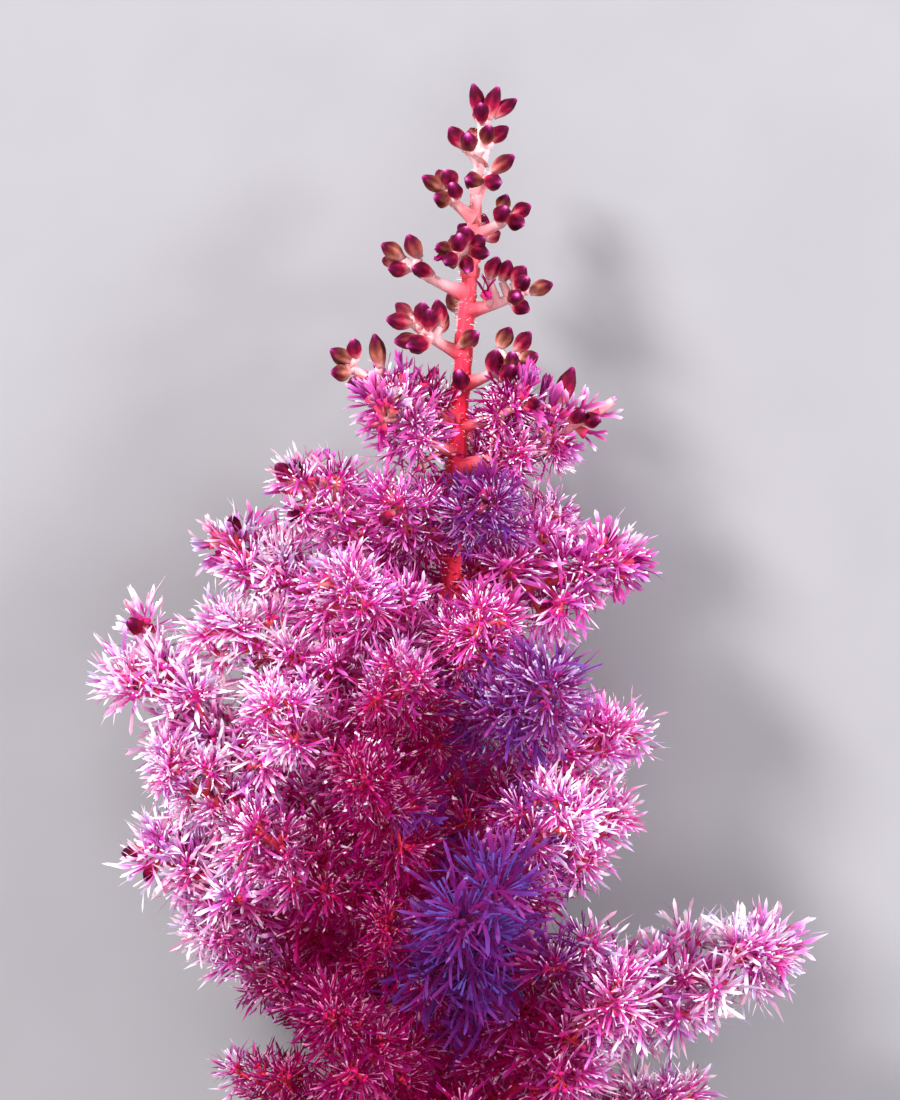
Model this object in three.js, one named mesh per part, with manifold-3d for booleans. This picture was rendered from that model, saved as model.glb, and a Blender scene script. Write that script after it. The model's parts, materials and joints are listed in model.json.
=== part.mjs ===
// A cut astilbe plume, as picked: one flowering panicle on its stalk, lying on its side.
// Millimetres, +Z up, the plume's tip towards +Y and its cut stalk end towards -Y.
// The origin is the flat spot on which the underside rests, straight below the stalk.
// The sprays under the stalk are pressed against the surface; those above it stand free.
import * as THREE from "three";
import { mergeVertices } from "three/addons/utils/BufferGeometryUtils.js";
import Module from "manifold-3d";

// Stalk: it rises from its cut end, carries the plume and droops a little towards the tip.
const TIP_Y = 68.6;
const CUT_Y = -104;
const TIP_RADIUS = 0.6;
const CUT_RADIUS = 1.8;
const STALK_HEIGHT = 19;
const HIGHEST_Y = -20;
const TIP_DROOP = 5;
const LEAN_FROM_Y = -25;
const TIP_LEAN = 4.9;
const STALK_SIDES = 8;
const STALK_STEPS = 24;

// Flowering sprays: a slim core, closed in rows of six, on which every face carries a petal.
// Shares are of the branch's length, but the core's share is of the petals' reach.
const CORE_SIDES = 6;
const ROW_STEP = 3.1;
const BRANCH_RADIUS = 0.55;
const LEAST_RADIUS = 0.33;
const CORE_SHARE = 0.36;
const CALYX_RISE = 0.45;
const CLOSED_PETAL = 2.1;
const PETAL_TILT = 0.45;
const PETAL_SPREAD = 0.5;
const PETAL_VARIATION = 0.22;
const SHORTEST_PETAL = 0.8;
const BARE_SHARE = 0.1;
const FULL_SHARE = 0.3;
const TAPER_SHARE = 0.6;
const TIP_TAPER = 0.55;
const LAST_ROW_INSET = 0.3;
const SPRAY_BOW = 0.12;

// Bud sprays: closed buds on a thin branch, which lean further out near its foot.
const BUD_BRANCH_RADIUS = 0.42;
const BUD_BRANCH_TAPER = 0.3;
const BUD_BRANCH_STEPS = 3;
const BUD_SIDES = 5;
const BUD_RADIUS = 1.0;
const BUD_HEIGHT = 3.3;
const FIRST_BUD_SHARE = 0.4;
const LAST_BUD_SHARE = 0.92;
const FOOT_BUD_LEAN = 1.25;
const BUD_LEAN_LOSS = 0.5;
const END_BUD_LEAN = 0.15;
const GOLDEN_ANGLE = Math.PI * (3 - Math.sqrt(5));

// Clearances between separate pieces.
const SEAT_GAP = 0.3;
const CELL_GAP = 0.36;
const LIMIT_STEP = 0.1;
const AXIS_SAMPLES = 16;

// Each bud spray: where it leaves the stalk, its tip, and its number of buds.
const BUD_SPRAYS = [
  { at: 69.0, tip: [5.5, 70.8, 14.4], buds: 5 },
  { at: 65.4, tip: [2.2, 67.2, 14.6], buds: 3 },
  { at: 65.2, tip: [6.9, 67.0, 13.2], buds: 3 },
  { at: 62.2, tip: [6.4, 63.6, 16.8], buds: 3 },
  { at: 59.2, tip: [-0.4, 62.0, 15.2], buds: 5 },
  { at: 57.4, tip: [8.0, 59.6, 15.6], buds: 5 },
  { at: 55.2, tip: [4.6, 58.4, 10.2], buds: 4 },
  { at: 53.4, tip: [2.0, 55.6, 20.0], buds: 6 },
  { at: 51.2, tip: [-4.4, 55.6, 16.2], buds: 6 },
  { at: 49.4, tip: [9.8, 52.6, 17.0], buds: 8 },
  { at: 46.4, tip: [1.8, 51.0, 8.6], buds: 5 },
  { at: 44.8, tip: [-3.8, 48.4, 18.6], buds: 6 },
  { at: 41.6, tip: [8.6, 46.0, 19.0], buds: 8 },
];

// Each flowering spray: where it leaves the stalk, its tip, how far its petals reach from
// its branch, the share of its length that is still in bud, and any extra dip of its middle.
const FLOWER_SPRAYS = [
  { at: 37.8, tip: [-10.4, 44.2, 17.6], reach: 3.8, buds: 0.5 },
  { at: 37.0, tip: [11.4, 43.4, 21.0], reach: 4.0, buds: 0.4 },
  { at: 34.4, tip: [-5.6, 39.6, 25.0], reach: 6.4, buds: 0.25 },
  { at: 32.8, tip: [18.2, 39.8, 16.4], reach: 5.8, buds: 0.35 },
  { at: 28.4, tip: [6.4, 31.4, 29.0], reach: 6.6, buds: 0.15 },
  { at: 26.6, tip: [4.2, 35.8, 6.4], reach: 5.0, buds: 0.2 },
  { at: 25.0, tip: [-5.4, 29.6, 27.0], reach: 5.8, buds: 0.1 },
  { at: 23.4, tip: [-16.6, 33.4, 19.0], reach: 6.2, buds: 0.25 },
  { at: 20.6, tip: [12.6, 28.2, 3.2], reach: 5.2, buds: 0.1 },
  { at: 19.4, tip: [23.0, 24.8, 18.6], reach: 7.6, buds: 0.15 },
  { at: 15.4, tip: [-10.4, 27.6, 3.2], reach: 5.2, buds: 0.1 },
  { at: 14.8, tip: [-11.0, 20.8, 31.5], reach: 6.6, buds: 0.2 },
  { at: 13.2, tip: [-22.8, 25.8, 15.6], reach: 6.8, buds: 0.15 },
  { at: 9.6, tip: [4.6, 17.8, 33.0], reach: 6.6, buds: 0.05 },
  { at: 6.2, tip: [-23.8, 17.0, 22.0], reach: 6.8, buds: 0.1 },
  { at: 5.4, tip: [12.8, 12.2, 36.0], reach: 8.0, buds: 0.15 },
  { at: 3.4, tip: [-5.0, 11.8, 37.5], reach: 6.6, buds: 0.05 },
  { at: 0.8, tip: [-16.8, 9.8, 3.6], reach: 6.2, buds: 0.0 },
  { at: -1.8, tip: [-17.6, 8.6, 31.5], reach: 7.2, buds: 0.05 },
  { at: -4.4, tip: [16.6, 6.4, 3.2], reach: 6.4, buds: 0.0 },
  { at: -5.4, tip: [20.8, 8.0, 20.5], reach: 7.4, buds: 0.05 },
  { at: -7.6, tip: [-8.4, 1.8, 39.0], reach: 7.2, buds: 0.05 },
  { at: -9.6, tip: [-34.2, 13.8, 18.0], reach: 7.8, buds: 0.1 },
  { at: -13.0, tip: [13.4, -2.0, 36.0], reach: 7.4, buds: 0.0 },
  { at: -15.4, tip: [-19.2, -4.6, 32.5], reach: 7.6, buds: 0.05 },
  { at: -15.8, tip: [19.4, -3.4, 21.5], reach: 7.0, buds: 0.05 },
  { at: -15.0, tip: [-29.6, 2.6, 22.5], reach: 6.2, buds: 0.0 },
  { at: -19.6, tip: [-31.8, -5.2, 18.4], reach: 7.4, buds: 0.1 },
  { at: -23.4, tip: [5.0, -13.8, 42.0], reach: 8.8, buds: 0.1 },
  { at: -26.4, tip: [0.4, 9.6, 1.5], reach: 5.6, buds: 0.0, dip: -11.5 },
  { at: -26.0, tip: [37.8, -15.0, 19.0], reach: 7.6, buds: 0.1 },
  { at: -27.4, tip: [-5.6, -13.4, 31.0], reach: 6.4, buds: 0.0 },
  { at: -29.2, tip: [-24.6, -15.8, 17.0], reach: 7.2, buds: 0.05 },
  { at: -31.4, tip: [9.8, -20.0, 30.0], reach: 6.2, buds: 0.0 },
  { at: -32.4, tip: [-17.0, -17.0, 3.6], reach: 5.8, buds: 0.0 },
  { at: -33.6, tip: [-11.6, -22.4, 39.0], reach: 7.8, buds: 0.0 },
  { at: -35.8, tip: [18.4, -24.6, 3.0], reach: 5.8, buds: 0.0 },
  { at: -37.4, tip: [16.0, -23.6, 35.5], reach: 7.8, buds: 0.0 },
  { at: -40.6, tip: [-20.4, -31.0, 15.0], reach: 7.2, buds: 0.0 },
  { at: -42.2, tip: [24.8, -33.0, 16.0], reach: 7.2, buds: 0.0 },
  { at: -44.6, tip: [1.0, -34.6, 37.5], reach: 7.6, buds: 0.0 },
  { at: -47.2, tip: [2.4, -34.0, 3.4], reach: 5.4, buds: 0.0, dip: -4 },
  { at: -49.6, tip: [-18.4, -44.0, 14.0], reach: 6.6, buds: 0.0 },
  { at: -51.6, tip: [19.0, -46.0, 14.0], reach: 6.6, buds: 0.0 },
];

const BUD_COLOUR = 0x8c2a66;
const PETAL_COLOUR = 0xc878c4;
const STALK_COLOUR = 0xd2565e;

const wasm = await Module();
wasm.setup();

// Random numbers between 0 and 1 that are the same in every run.
function seeded(seed) {
  let state = (seed * 2654435761) >>> 0;
  return () => {
    state = (Math.imul(state, 1664525) + 1013904223) >>> 0;
    return state / 2 ** 32;
  };
}

function stalkRadius(y) {
  return THREE.MathUtils.mapLinear(y, TIP_Y, CUT_Y, TIP_RADIUS, CUT_RADIUS);
}

// The stalk's centre at a given y.
function stalkCentre(y) {
  const lean = Math.max(0, (y - LEAN_FROM_Y) / (TIP_Y - LEAN_FROM_Y));
  const far = y < HIGHEST_Y ? CUT_Y : TIP_Y;
  const drop = y < HIGHEST_Y ? STALK_HEIGHT - CUT_RADIUS : TIP_DROOP;
  const z = STALK_HEIGHT - drop * ((y - HIGHEST_Y) / (far - HIGHEST_Y)) ** 2;
  return new THREE.Vector3(TIP_LEAN * lean ** 2, y, z);
}

// A spray's branch: it leaves the stalk's side and bows on its way to the tip.
function branchOf({ at, tip, dip = 0 }, radius) {
  const root = stalkCentre(at);
  const end = new THREE.Vector3(...tip);
  const out = end.clone().sub(root);
  const along = new THREE.Vector3(0, 1, 0);
  const side = out.clone().addScaledVector(along, -out.y).normalize();
  const lean = out.y / out.length();
  const clear = stalkRadius(at) + SEAT_GAP + radius * Math.abs(lean);
  const start = at > TIP_Y ? root.clone() : root.clone().addScaledVector(side, clear);
  const middle = start.clone().lerp(end, 0.5);
  middle.addScaledVector(along, -SPRAY_BOW * out.length());
  middle.z += dip;
  return new THREE.QuadraticBezierCurve3(start, middle, end);
}

// Distance from a point to a branch, as a chain of straight pieces.
function distanceTo(chain, point) {
  const nearest = new THREE.Vector3();
  let least = Infinity;
  for (const piece of chain) {
    piece.closestPointToPoint(point, true, nearest);
    least = Math.min(least, nearest.distanceTo(point));
  }
  return least;
}

function chainOf(points) {
  return points.slice(1).map((p, i) => new THREE.Line3(points[i], p));
}

const sprays = [
  ...BUD_SPRAYS.map((spec) => ({ spec, branch: branchOf(spec, BUD_BRANCH_RADIUS) })),
  ...FLOWER_SPRAYS.map((spec) => ({ spec, branch: branchOf(spec, BRANCH_RADIUS) })),
];
for (const spray of sprays) {
  spray.chain = chainOf(spray.branch.getSpacedPoints(AXIS_SAMPLES));
}

// Whether a point is above the surface, off the stalk, and nearer to its own branch than
// to any other, so that no two sprays meet.
function hasRoom(point, own) {
  if (point.z < 0) return false;
  const fromStalk = point.distanceTo(stalkCentre(point.y));
  if (point.y < TIP_Y && fromStalk < stalkRadius(point.y) + SEAT_GAP) return false;
  const near = distanceTo(own.chain, point) + CELL_GAP;
  return sprays.every((s) => s === own || distanceTo(s.chain, point) >= near);
}

// The furthest point from start, up to a length, that still has room.
function reachOut(start, direction, length, least, own) {
  const end = new THREE.Vector3();
  for (let reach = length; reach > least; reach -= LIMIT_STEP) {
    end.copy(start).addScaledVector(direction, reach);
    if (hasRoom(end, own)) return end;
  }
  return null;
}

function geometryOf(points, faces) {
  const geometry = new THREE.BufferGeometry().setFromPoints(points);
  geometry.setIndex(faces.flat());
  return geometry;
}

// A tapering branch or stalk along a curve, closed at both ends.
function taperedTube(curve, steps, sides, radiusAt) {
  const { normals, binormals } = curve.computeFrenetFrames(steps, false);
  const points = [curve.getPointAt(0), curve.getPointAt(1)];
  const faces = [];
  for (let j = 0; j <= steps; j++) {
    for (let i = 0; i < sides; i++) {
      const turn = (2 * Math.PI * i) / sides;
      const point = curve.getPointAt(j / steps);
      point.addScaledVector(normals[j], radiusAt(j / steps) * Math.cos(turn));
      point.addScaledVector(binormals[j], radiusAt(j / steps) * Math.sin(turn));
      point.z = Math.max(point.z, 0);
      points.push(point);
    }
  }
  const id = (i, j) => 2 + j * sides + (i % sides);
  for (let i = 0; i < sides; i++) {
    faces.push([0, id(i + 1, 0), id(i, 0)]);
    faces.push([1, id(i, steps), id(i + 1, steps)]);
    for (let j = 0; j < steps; j++) {
      faces.push([id(i, j), id(i + 1, j), id(i, j + 1)]);
      faces.push([id(i + 1, j), id(i + 1, j + 1), id(i, j + 1)]);
    }
  }
  return geometryOf(points, faces);
}

function stalkGeometry() {
  const points = [];
  for (let k = 0; k <= STALK_STEPS; k++) {
    points.push(stalkCentre(THREE.MathUtils.lerp(CUT_Y, TIP_Y - SEAT_GAP, k / STALK_STEPS)));
  }
  const curve = new THREE.CatmullRomCurve3(points);
  const radiusAt = (share) => stalkRadius(THREE.MathUtils.lerp(CUT_Y, TIP_Y, share));
  return taperedTube(curve, STALK_STEPS, STALK_SIDES, radiusAt);
}

// How full of petals a spray is along its length: bare at the foot, then full.
function fullness(share) {
  return THREE.MathUtils.smoothstep(share, BARE_SHARE, FULL_SHARE);
}

function coreRadius(share, reach) {
  const taper = 1 - TIP_TAPER * THREE.MathUtils.smoothstep(share, TAPER_SHARE, 1);
  const full = CORE_SHARE * reach * taper;
  return THREE.MathUtils.lerp(BRANCH_RADIUS, full, fullness(share));
}

// A petal on the core's face a, b, c: the face itself, turned inwards, and three sides.
const PETAL_FACES = [[0, 2, 1], [0, 1, 3], [1, 2, 3], [2, 0, 3]];

// A flowering spray. Its core is a lattice of triangles round the branch. Every third
// corner is a floret's calyx, raised a little, and the six faces round it are drawn out
// into that floret's petals, which lean away from its middle and towards the tip.
function flowerSprayGeometry(spray, index) {
  const { branch, spec } = spray;
  const random = seeded(index + 1);
  const rows = Math.round(branch.getLength() / ROW_STEP);
  const { tangents, normals, binormals } = branch.computeFrenetFrames(rows, false);
  const radial = (turn, j) =>
    normals[j].clone().multiplyScalar(Math.cos(turn)).addScaledVector(binormals[j], Math.sin(turn));
  const turnOf = (i, j) => (2 * Math.PI * (i + j / 2)) / CORE_SIDES;
  const isCalyx = (i, j) => (i + 2 * j) % 3 === 0;

  const points = [branch.getPointAt(0), branch.getPointAt(1)];
  for (let j = 0; j <= rows; j++) {
    const share = j / rows;
    const centre = branch.getPointAt(j === rows ? 1 - LAST_ROW_INSET / rows : share);
    for (let i = 0; i < CORE_SIDES; i++) {
      const out = radial(turnOf(i, j), j);
      const rise = isCalyx(i, j) ? CALYX_RISE * fullness(share) : 0;
      const radius = coreRadius(share, spec.reach) + rise;
      const full = centre.clone().addScaledVector(out, radius);
      const pressed = full.z < 0;
      full.z = Math.max(full.z, 0);
      const free = pressed && hasRoom(full, spray);
      const point = free ? full : reachOut(centre, out, radius, LEAST_RADIUS, spray);
      points.push(point ?? centre.clone().addScaledVector(out, LEAST_RADIUS));
    }
  }

  const id = (i, j) => 2 + j * CORE_SIDES + (i % CORE_SIDES);
  const faces = [];
  const petals = [];
  const petal = (corners, i, j) => {
    const ids = corners.map(([a, b]) => id(a, b));
    const [a, b, c] = ids.map((k) => points[k]);
    const middle = a.clone().add(b).add(c).divideScalar(3);
    const share = (j + 0.5) / rows;
    const onSurface = Math.max(a.z, b.z, c.z) < 1e-6;
    const inBud = share > 1 - spec.buds;
    const vary = 1 + PETAL_VARIATION * (2 * random() - 1);
    const full = inBud ? CLOSED_PETAL : (1 - CORE_SHARE) * spec.reach;
    const length = full * fullness(share) * vary;
    const calyx = corners.find(([p, q]) => isCalyx(p, q));
    const spread = middle.clone().sub(points[id(...calyx)]).normalize();
    const direction = radial(turnOf(i + 0.5, j), j);
    direction.addScaledVector(tangents[j], PETAL_TILT);
    direction.addScaledVector(spread, inBud ? 0 : PETAL_SPREAD).normalize();
    const apex = onSurface ? null : reachOut(middle, direction, length, SHORTEST_PETAL, spray);
    faces.push(ids);
    if (!apex) return;
    petals.push(solidOf(geometryOf([a, b, c, apex], PETAL_FACES)));
  };
  for (let i = 0; i < CORE_SIDES; i++) {
    faces.push([0, id(i + 1, 0), id(i, 0)]);
    faces.push([1, id(i, rows), id(i + 1, rows)]);
    for (let j = 0; j < rows; j++) {
      petal([[i, j], [i + 1, j], [i, j + 1]], i, j);
      petal([[i + 1, j], [i + 1, j + 1], [i, j + 1]], i + 0.5, j);
    }
  }
  return geometryFrom(wasm.Manifold.union([solidOf(geometryOf(points, faces)), ...petals]));
}

// One closed bud, along +Y from the origin: its radius and height at each corner are
// shares of the full ones.
function budGeometry() {
  const profile = [
    [0, 0],
    [1, 0.48],
    [0.75, 0.79],
    [0, 1],
  ].map(([radius, height]) => new THREE.Vector2(radius * BUD_RADIUS, height * BUD_HEIGHT));
  return new THREE.LatheGeometry(profile, BUD_SIDES);
}

function solidOf(geometry) {
  const bare = geometry.clone();
  bare.deleteAttribute("normal");
  bare.deleteAttribute("uv");
  const merged = mergeVertices(bare, 1e-4);
  return new wasm.Manifold(
    new wasm.Mesh({
      numProp: 3,
      vertProperties: merged.attributes.position.array,
      triVerts: new Uint32Array(merged.index.array),
    }),
  );
}

function geometryFrom(solid) {
  const mesh = solid.getMesh();
  const geometry = new THREE.BufferGeometry();
  geometry.setAttribute("position", new THREE.BufferAttribute(mesh.vertProperties, mesh.numProp));
  geometry.setIndex(new THREE.BufferAttribute(mesh.triVerts, 1));
  return geometry;
}

// A bud spray: its branch with closed buds set round it in a spiral, and one at its end.
function budSprayGeometry({ branch, spec }) {
  const { tangents, normals, binormals } = branch.computeFrenetFrames(spec.buds, false);
  const radiusAt = (share) => BUD_BRANCH_RADIUS * (1 - BUD_BRANCH_TAPER * share);
  let solid = solidOf(taperedTube(branch, BUD_BRANCH_STEPS, BUD_SIDES, radiusAt));
  const bud = budGeometry();
  const up = new THREE.Vector3(0, 1, 0);
  for (let k = 0; k < spec.buds; k++) {
    const last = spec.buds - 1;
    const share = THREE.MathUtils.lerp(FIRST_BUD_SHARE, LAST_BUD_SHARE, k / last);
    const frame = Math.round(share * spec.buds);
    const turn = k * GOLDEN_ANGLE + spec.at;
    const lean = k === last ? END_BUD_LEAN : FOOT_BUD_LEAN - BUD_LEAN_LOSS * share;
    const out = normals[frame].clone().multiplyScalar(Math.cos(turn) * Math.sin(lean));
    out.addScaledVector(binormals[frame], Math.sin(turn) * Math.sin(lean));
    out.addScaledVector(tangents[frame], Math.cos(lean)).normalize();
    const place = new THREE.Matrix4().makeRotationFromQuaternion(
      new THREE.Quaternion().setFromUnitVectors(up, out),
    );
    place.setPosition(branch.getPointAt(share));
    solid = solid.add(solidOf(bud.clone().applyMatrix4(place)));
  }
  return geometryFrom(solid);
}

function meshOf(name, geometry, color, roughness) {
  const material = new THREE.MeshStandardMaterial({ color, roughness, metalness: 0 });
  const mesh = new THREE.Mesh(geometry, material);
  mesh.name = name;
  return mesh;
}

const plume = new THREE.Group();
plume.add(meshOf("stalk", stalkGeometry(), STALK_COLOUR, 0.6));
const numbered = (name, index) => `${name}_${String(index + 1).padStart(2, "0")}`;
sprays.slice(0, BUD_SPRAYS.length).forEach((spray, index) => {
  plume.add(meshOf(numbered("bud_spray", index), budSprayGeometry(spray), BUD_COLOUR, 0.5));
});
sprays.slice(BUD_SPRAYS.length).forEach((spray, index) => {
  const geometry = flowerSprayGeometry(spray, index);
  plume.add(meshOf(numbered("flower_spray", index), geometry, PETAL_COLOUR, 0.6));
});

export default plume;
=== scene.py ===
"""A cut astilbe plume lying on a pale surface: its stalk, buds and florets, petal by petal.

Lengths are written in millimetres, and MM turns them into metres. +Y runs towards the plume's
tip and +Z up from the surface.
"""

import json
import math
import random

import bmesh
import bpy
from mathutils import Matrix, Vector

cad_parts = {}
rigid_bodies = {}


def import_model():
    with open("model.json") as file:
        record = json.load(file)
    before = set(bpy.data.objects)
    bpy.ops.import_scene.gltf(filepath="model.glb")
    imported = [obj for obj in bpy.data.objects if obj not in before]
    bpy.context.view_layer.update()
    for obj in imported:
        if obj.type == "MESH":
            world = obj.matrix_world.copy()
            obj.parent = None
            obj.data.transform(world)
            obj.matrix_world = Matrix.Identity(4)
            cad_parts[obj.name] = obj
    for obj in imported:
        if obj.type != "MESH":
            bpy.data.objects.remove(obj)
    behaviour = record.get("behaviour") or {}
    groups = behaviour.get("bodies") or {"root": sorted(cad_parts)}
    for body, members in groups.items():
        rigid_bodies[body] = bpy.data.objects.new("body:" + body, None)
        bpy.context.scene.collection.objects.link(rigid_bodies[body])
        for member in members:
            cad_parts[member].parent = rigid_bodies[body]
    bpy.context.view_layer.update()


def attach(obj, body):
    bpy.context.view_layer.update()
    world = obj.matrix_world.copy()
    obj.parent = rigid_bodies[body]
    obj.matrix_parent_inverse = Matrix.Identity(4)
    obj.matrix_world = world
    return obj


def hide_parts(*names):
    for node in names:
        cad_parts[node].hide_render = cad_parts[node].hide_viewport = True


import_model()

MM = 0.001
GOLDEN_ANGLE = math.pi * (3 - math.sqrt(5))

# Stalk: it rises from its cut end and droops a little towards the tip.
TIP_Y = 68.6
CUT_Y = -104
TIP_RADIUS = 0.6
CUT_RADIUS = 1.8
STALK_HEIGHT = 19
HIGHEST_Y = -20
TIP_DROOP = 5
LEAN_FROM_Y = -25
TIP_LEAN = 4.5
SPRAY_BOW = 0.12

# Each bud spray: where it leaves the stalk, its tip, its closed buds and its opening ones. A bud
# is given by its foot and its tip, seen from above, and how much higher its tip is than its foot.
BUD_SPRAYS = [
    (69.0, (5.2, 70.0, 14.2), [
        (4.3, 69.7, 3.4, 73.4, 0.2), (5.1, 69.6, 5.8, 73.2, 0.4), (5.6, 69.8, 8.0, 71.9, 0.0),
        (4.4, 69.3, 4.3, 71.0, 2.4),
    ], []),
    (65.4, (2.5, 66.8, 14.6), [
        (2.6, 66.6, 1.0, 68.8, 0.3), (3.0, 66.5, 3.1, 67.5, 2.6), (3.3, 67.2, 3.5, 68.6, -1.6),
    ], []),
    (65.2, (5.2, 67.2, 13.8), [(4.9, 67.3, 7.2, 68.9, -0.4), (4.7, 67.0, 5.3, 68.8, 1.8)], []),
    (62.2, (5.4, 63.5, 16.4), [
        (5.4, 63.9, 7.9, 65.7, 0.4), (4.3, 63.0, 2.7, 63.1, 2.2), (4.7, 62.9, 6.5, 63.0, 2.0),
    ], []),
    (59.2, (0.4, 61.9, 15.4), [
        (0.6, 62.0, -2.0, 63.5, 0.2), (0.8, 62.4, -0.6, 63.9, -1.0), (1.5, 62.3, 0.5, 64.3, 0.6),
        (1.1, 61.0, -0.8, 61.2, 0.8), (1.8, 61.3, 1.4, 62.7, 2.2),
    ], []),
    (57.4, (7.4, 59.3, 15.6), [
        (6.4, 59.8, 7.0, 61.6, 0.5), (7.6, 59.4, 9.6, 60.5, 0.0), (7.1, 59.1, 8.9, 58.3, 1.0),
        (6.1, 58.9, 6.8, 60.1, 2.2),
    ], []),
    (55.2, (4.6, 58.4, 10.2), [
        (3.6, 57.0, 1.9, 58.6, -0.6), (4.2, 57.4, 5.0, 59.6, -0.8), (4.6, 57.2, 6.4, 57.8, -1.2),
    ], []),
    (53.4, (1.6, 55.4, 19.8), [
        (2.5, 56.1, 2.8, 58.2, 0.8), (1.3, 55.4, -0.5, 56.2, 0.5), (2.1, 55.7, 1.7, 56.9, 2.2),
        (3.0, 55.6, 5.1, 55.3, 1.2), (2.8, 54.8, 2.8, 53.3, 2.2), (1.6, 55.0, 0.7, 54.2, 2.0),
        (3.2, 55.9, 4.7, 56.9, 0.8),
    ], [(1.4, 55.3, -0.6, 54.7, 0.6)]),
    (51.2, (-3.8, 54.6, 16.4), [
        (-3.9, 54.8, -6.2, 56.4, 0.2), (-2.1, 54.9, -3.5, 57.3, 0.5), (-3.3, 53.6, -5.5, 53.7, 0.6),
        (-0.8, 53.2, -3.0, 54.1, 1.5), (-4.0, 54.3, -5.9, 55.0, -1.2),
    ], []),
    (49.4, (9.0, 51.5, 17.2), [
        (5.2, 52.6, 5.8, 55.1, -0.3), (6.5, 52.4, 7.3, 54.7, 0.0), (7.6, 52.3, 9.0, 54.0, 0.3),
        (8.1, 51.6, 9.2, 52.8, 1.8), (9.4, 51.2, 11.9, 52.2, 0.0), (7.7, 50.5, 8.1, 50.9, 2.8),
        (7.6, 50.1, 9.4, 49.1, 0.6),
    ], [(4.9, 50.6, 5.2, 52.0, 2.6)]),
    (46.4, (1.8, 51.0, 8.6), [
        (1.9, 49.4, 0.6, 51.2, -0.6), (2.2, 49.6, 3.2, 52.0, -0.8), (2.4, 49.0, 4.3, 49.8, -1.0),
    ], []),
    (44.8, (-2.9, 48.0, 18.4), [
        (-2.9, 48.6, -4.8, 49.9, -0.8), (-2.9, 47.9, -5.7, 48.4, 0.5), (-2.0, 47.9, -1.8, 50.2, 1.0),
        (0.0, 47.6, -0.4, 50.6, -0.5), (-2.1, 46.2, -4.9, 45.9, 0.6), (-0.3, 47.0, 0.8, 49.0, -1.5),
        (-1.2, 47.3, -1.1, 49.4, 1.8), (-1.2, 46.2, -3.2, 45.2, 1.6), (2.1, 45.7, 4.1, 47.1, 1.6),
    ], []),
    (41.6, (8.2, 44.4, 18.8), [
        (6.2, 45.3, 7.4, 47.6, 0.0), (7.8, 45.0, 9.8, 46.8, 0.0), (8.4, 44.0, 10.3, 44.7, 0.5),
        (8.4, 43.3, 10.3, 42.7, 1.0), (5.4, 42.6, 6.0, 45.4, 1.5), (7.3, 43.0, 7.8, 45.0, 2.0),
        (6.6, 42.0, 7.7, 43.5, 2.2), (2.3, 41.2, 2.1, 42.6, 2.6),
    ], []),
]

# The ends of three flowering sprays, by number, with closed buds and opening ones as above, and
# the share of the spray's length where its open florets stop.
SPRAY_ENDS = {
    1: (0.5, [
        (-9.1, 43.9, -11.7, 45.0, 0.2), (-8.7, 44.4, -9.4, 46.2, 1.0), (-9.4, 42.8, -11.5, 42.6, 0.5),
        (-7.6, 42.1, -9.9, 41.5, 0.8), (-6.5, 41.9, -8.2, 41.2, 1.6), (-6.2, 43.2, -7.1, 46.9, 0.0),
    ], [(-3.9, 41.4, -4.1, 45.4, 0.6), (-1.6, 41.0, -1.4, 43.6, 1.2)]),
    4: (0.55, [
        (12.4, 39.2, 14.0, 43.4, -1.0), (13.9, 37.7, 15.1, 38.7, 2.0), (15.2, 37.6, 16.9, 38.2, 1.6),
    ], [
        (10.4, 38.2, 11.0, 43.0, 0.6), (11.6, 37.9, 11.9, 42.3, 1.0), (12.8, 37.8, 14.2, 41.2, 0.8),
        (13.7, 38.0, 16.8, 41.0, 0.3), (15.6, 38.3, 19.4, 39.3, 0.0), (14.4, 36.9, 17.5, 35.3, 0.3),
        (11.9, 35.8, 15.6, 34.5, 0.6),
    ]),
    8: (0.78, [
        (-15.4, 31.0, -17.2, 33.4, 0.5), (-15.1, 31.0, -15.2, 33.8, 0.5),
        (-13.9, 28.4, -15.9, 27.4, 1.6),
    ], [
        (-14.9, 30.2, -18.8, 31.5, 0.3), (-13.4, 30.4, -13.7, 35.0, 0.3),
        (-12.3, 30.2, -11.5, 34.9, 0.0),
    ]),
}

# The flowering sprays whose petals are long and curled, by number.
STRAP_SPRAYS = (5, 16, 29)

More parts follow.
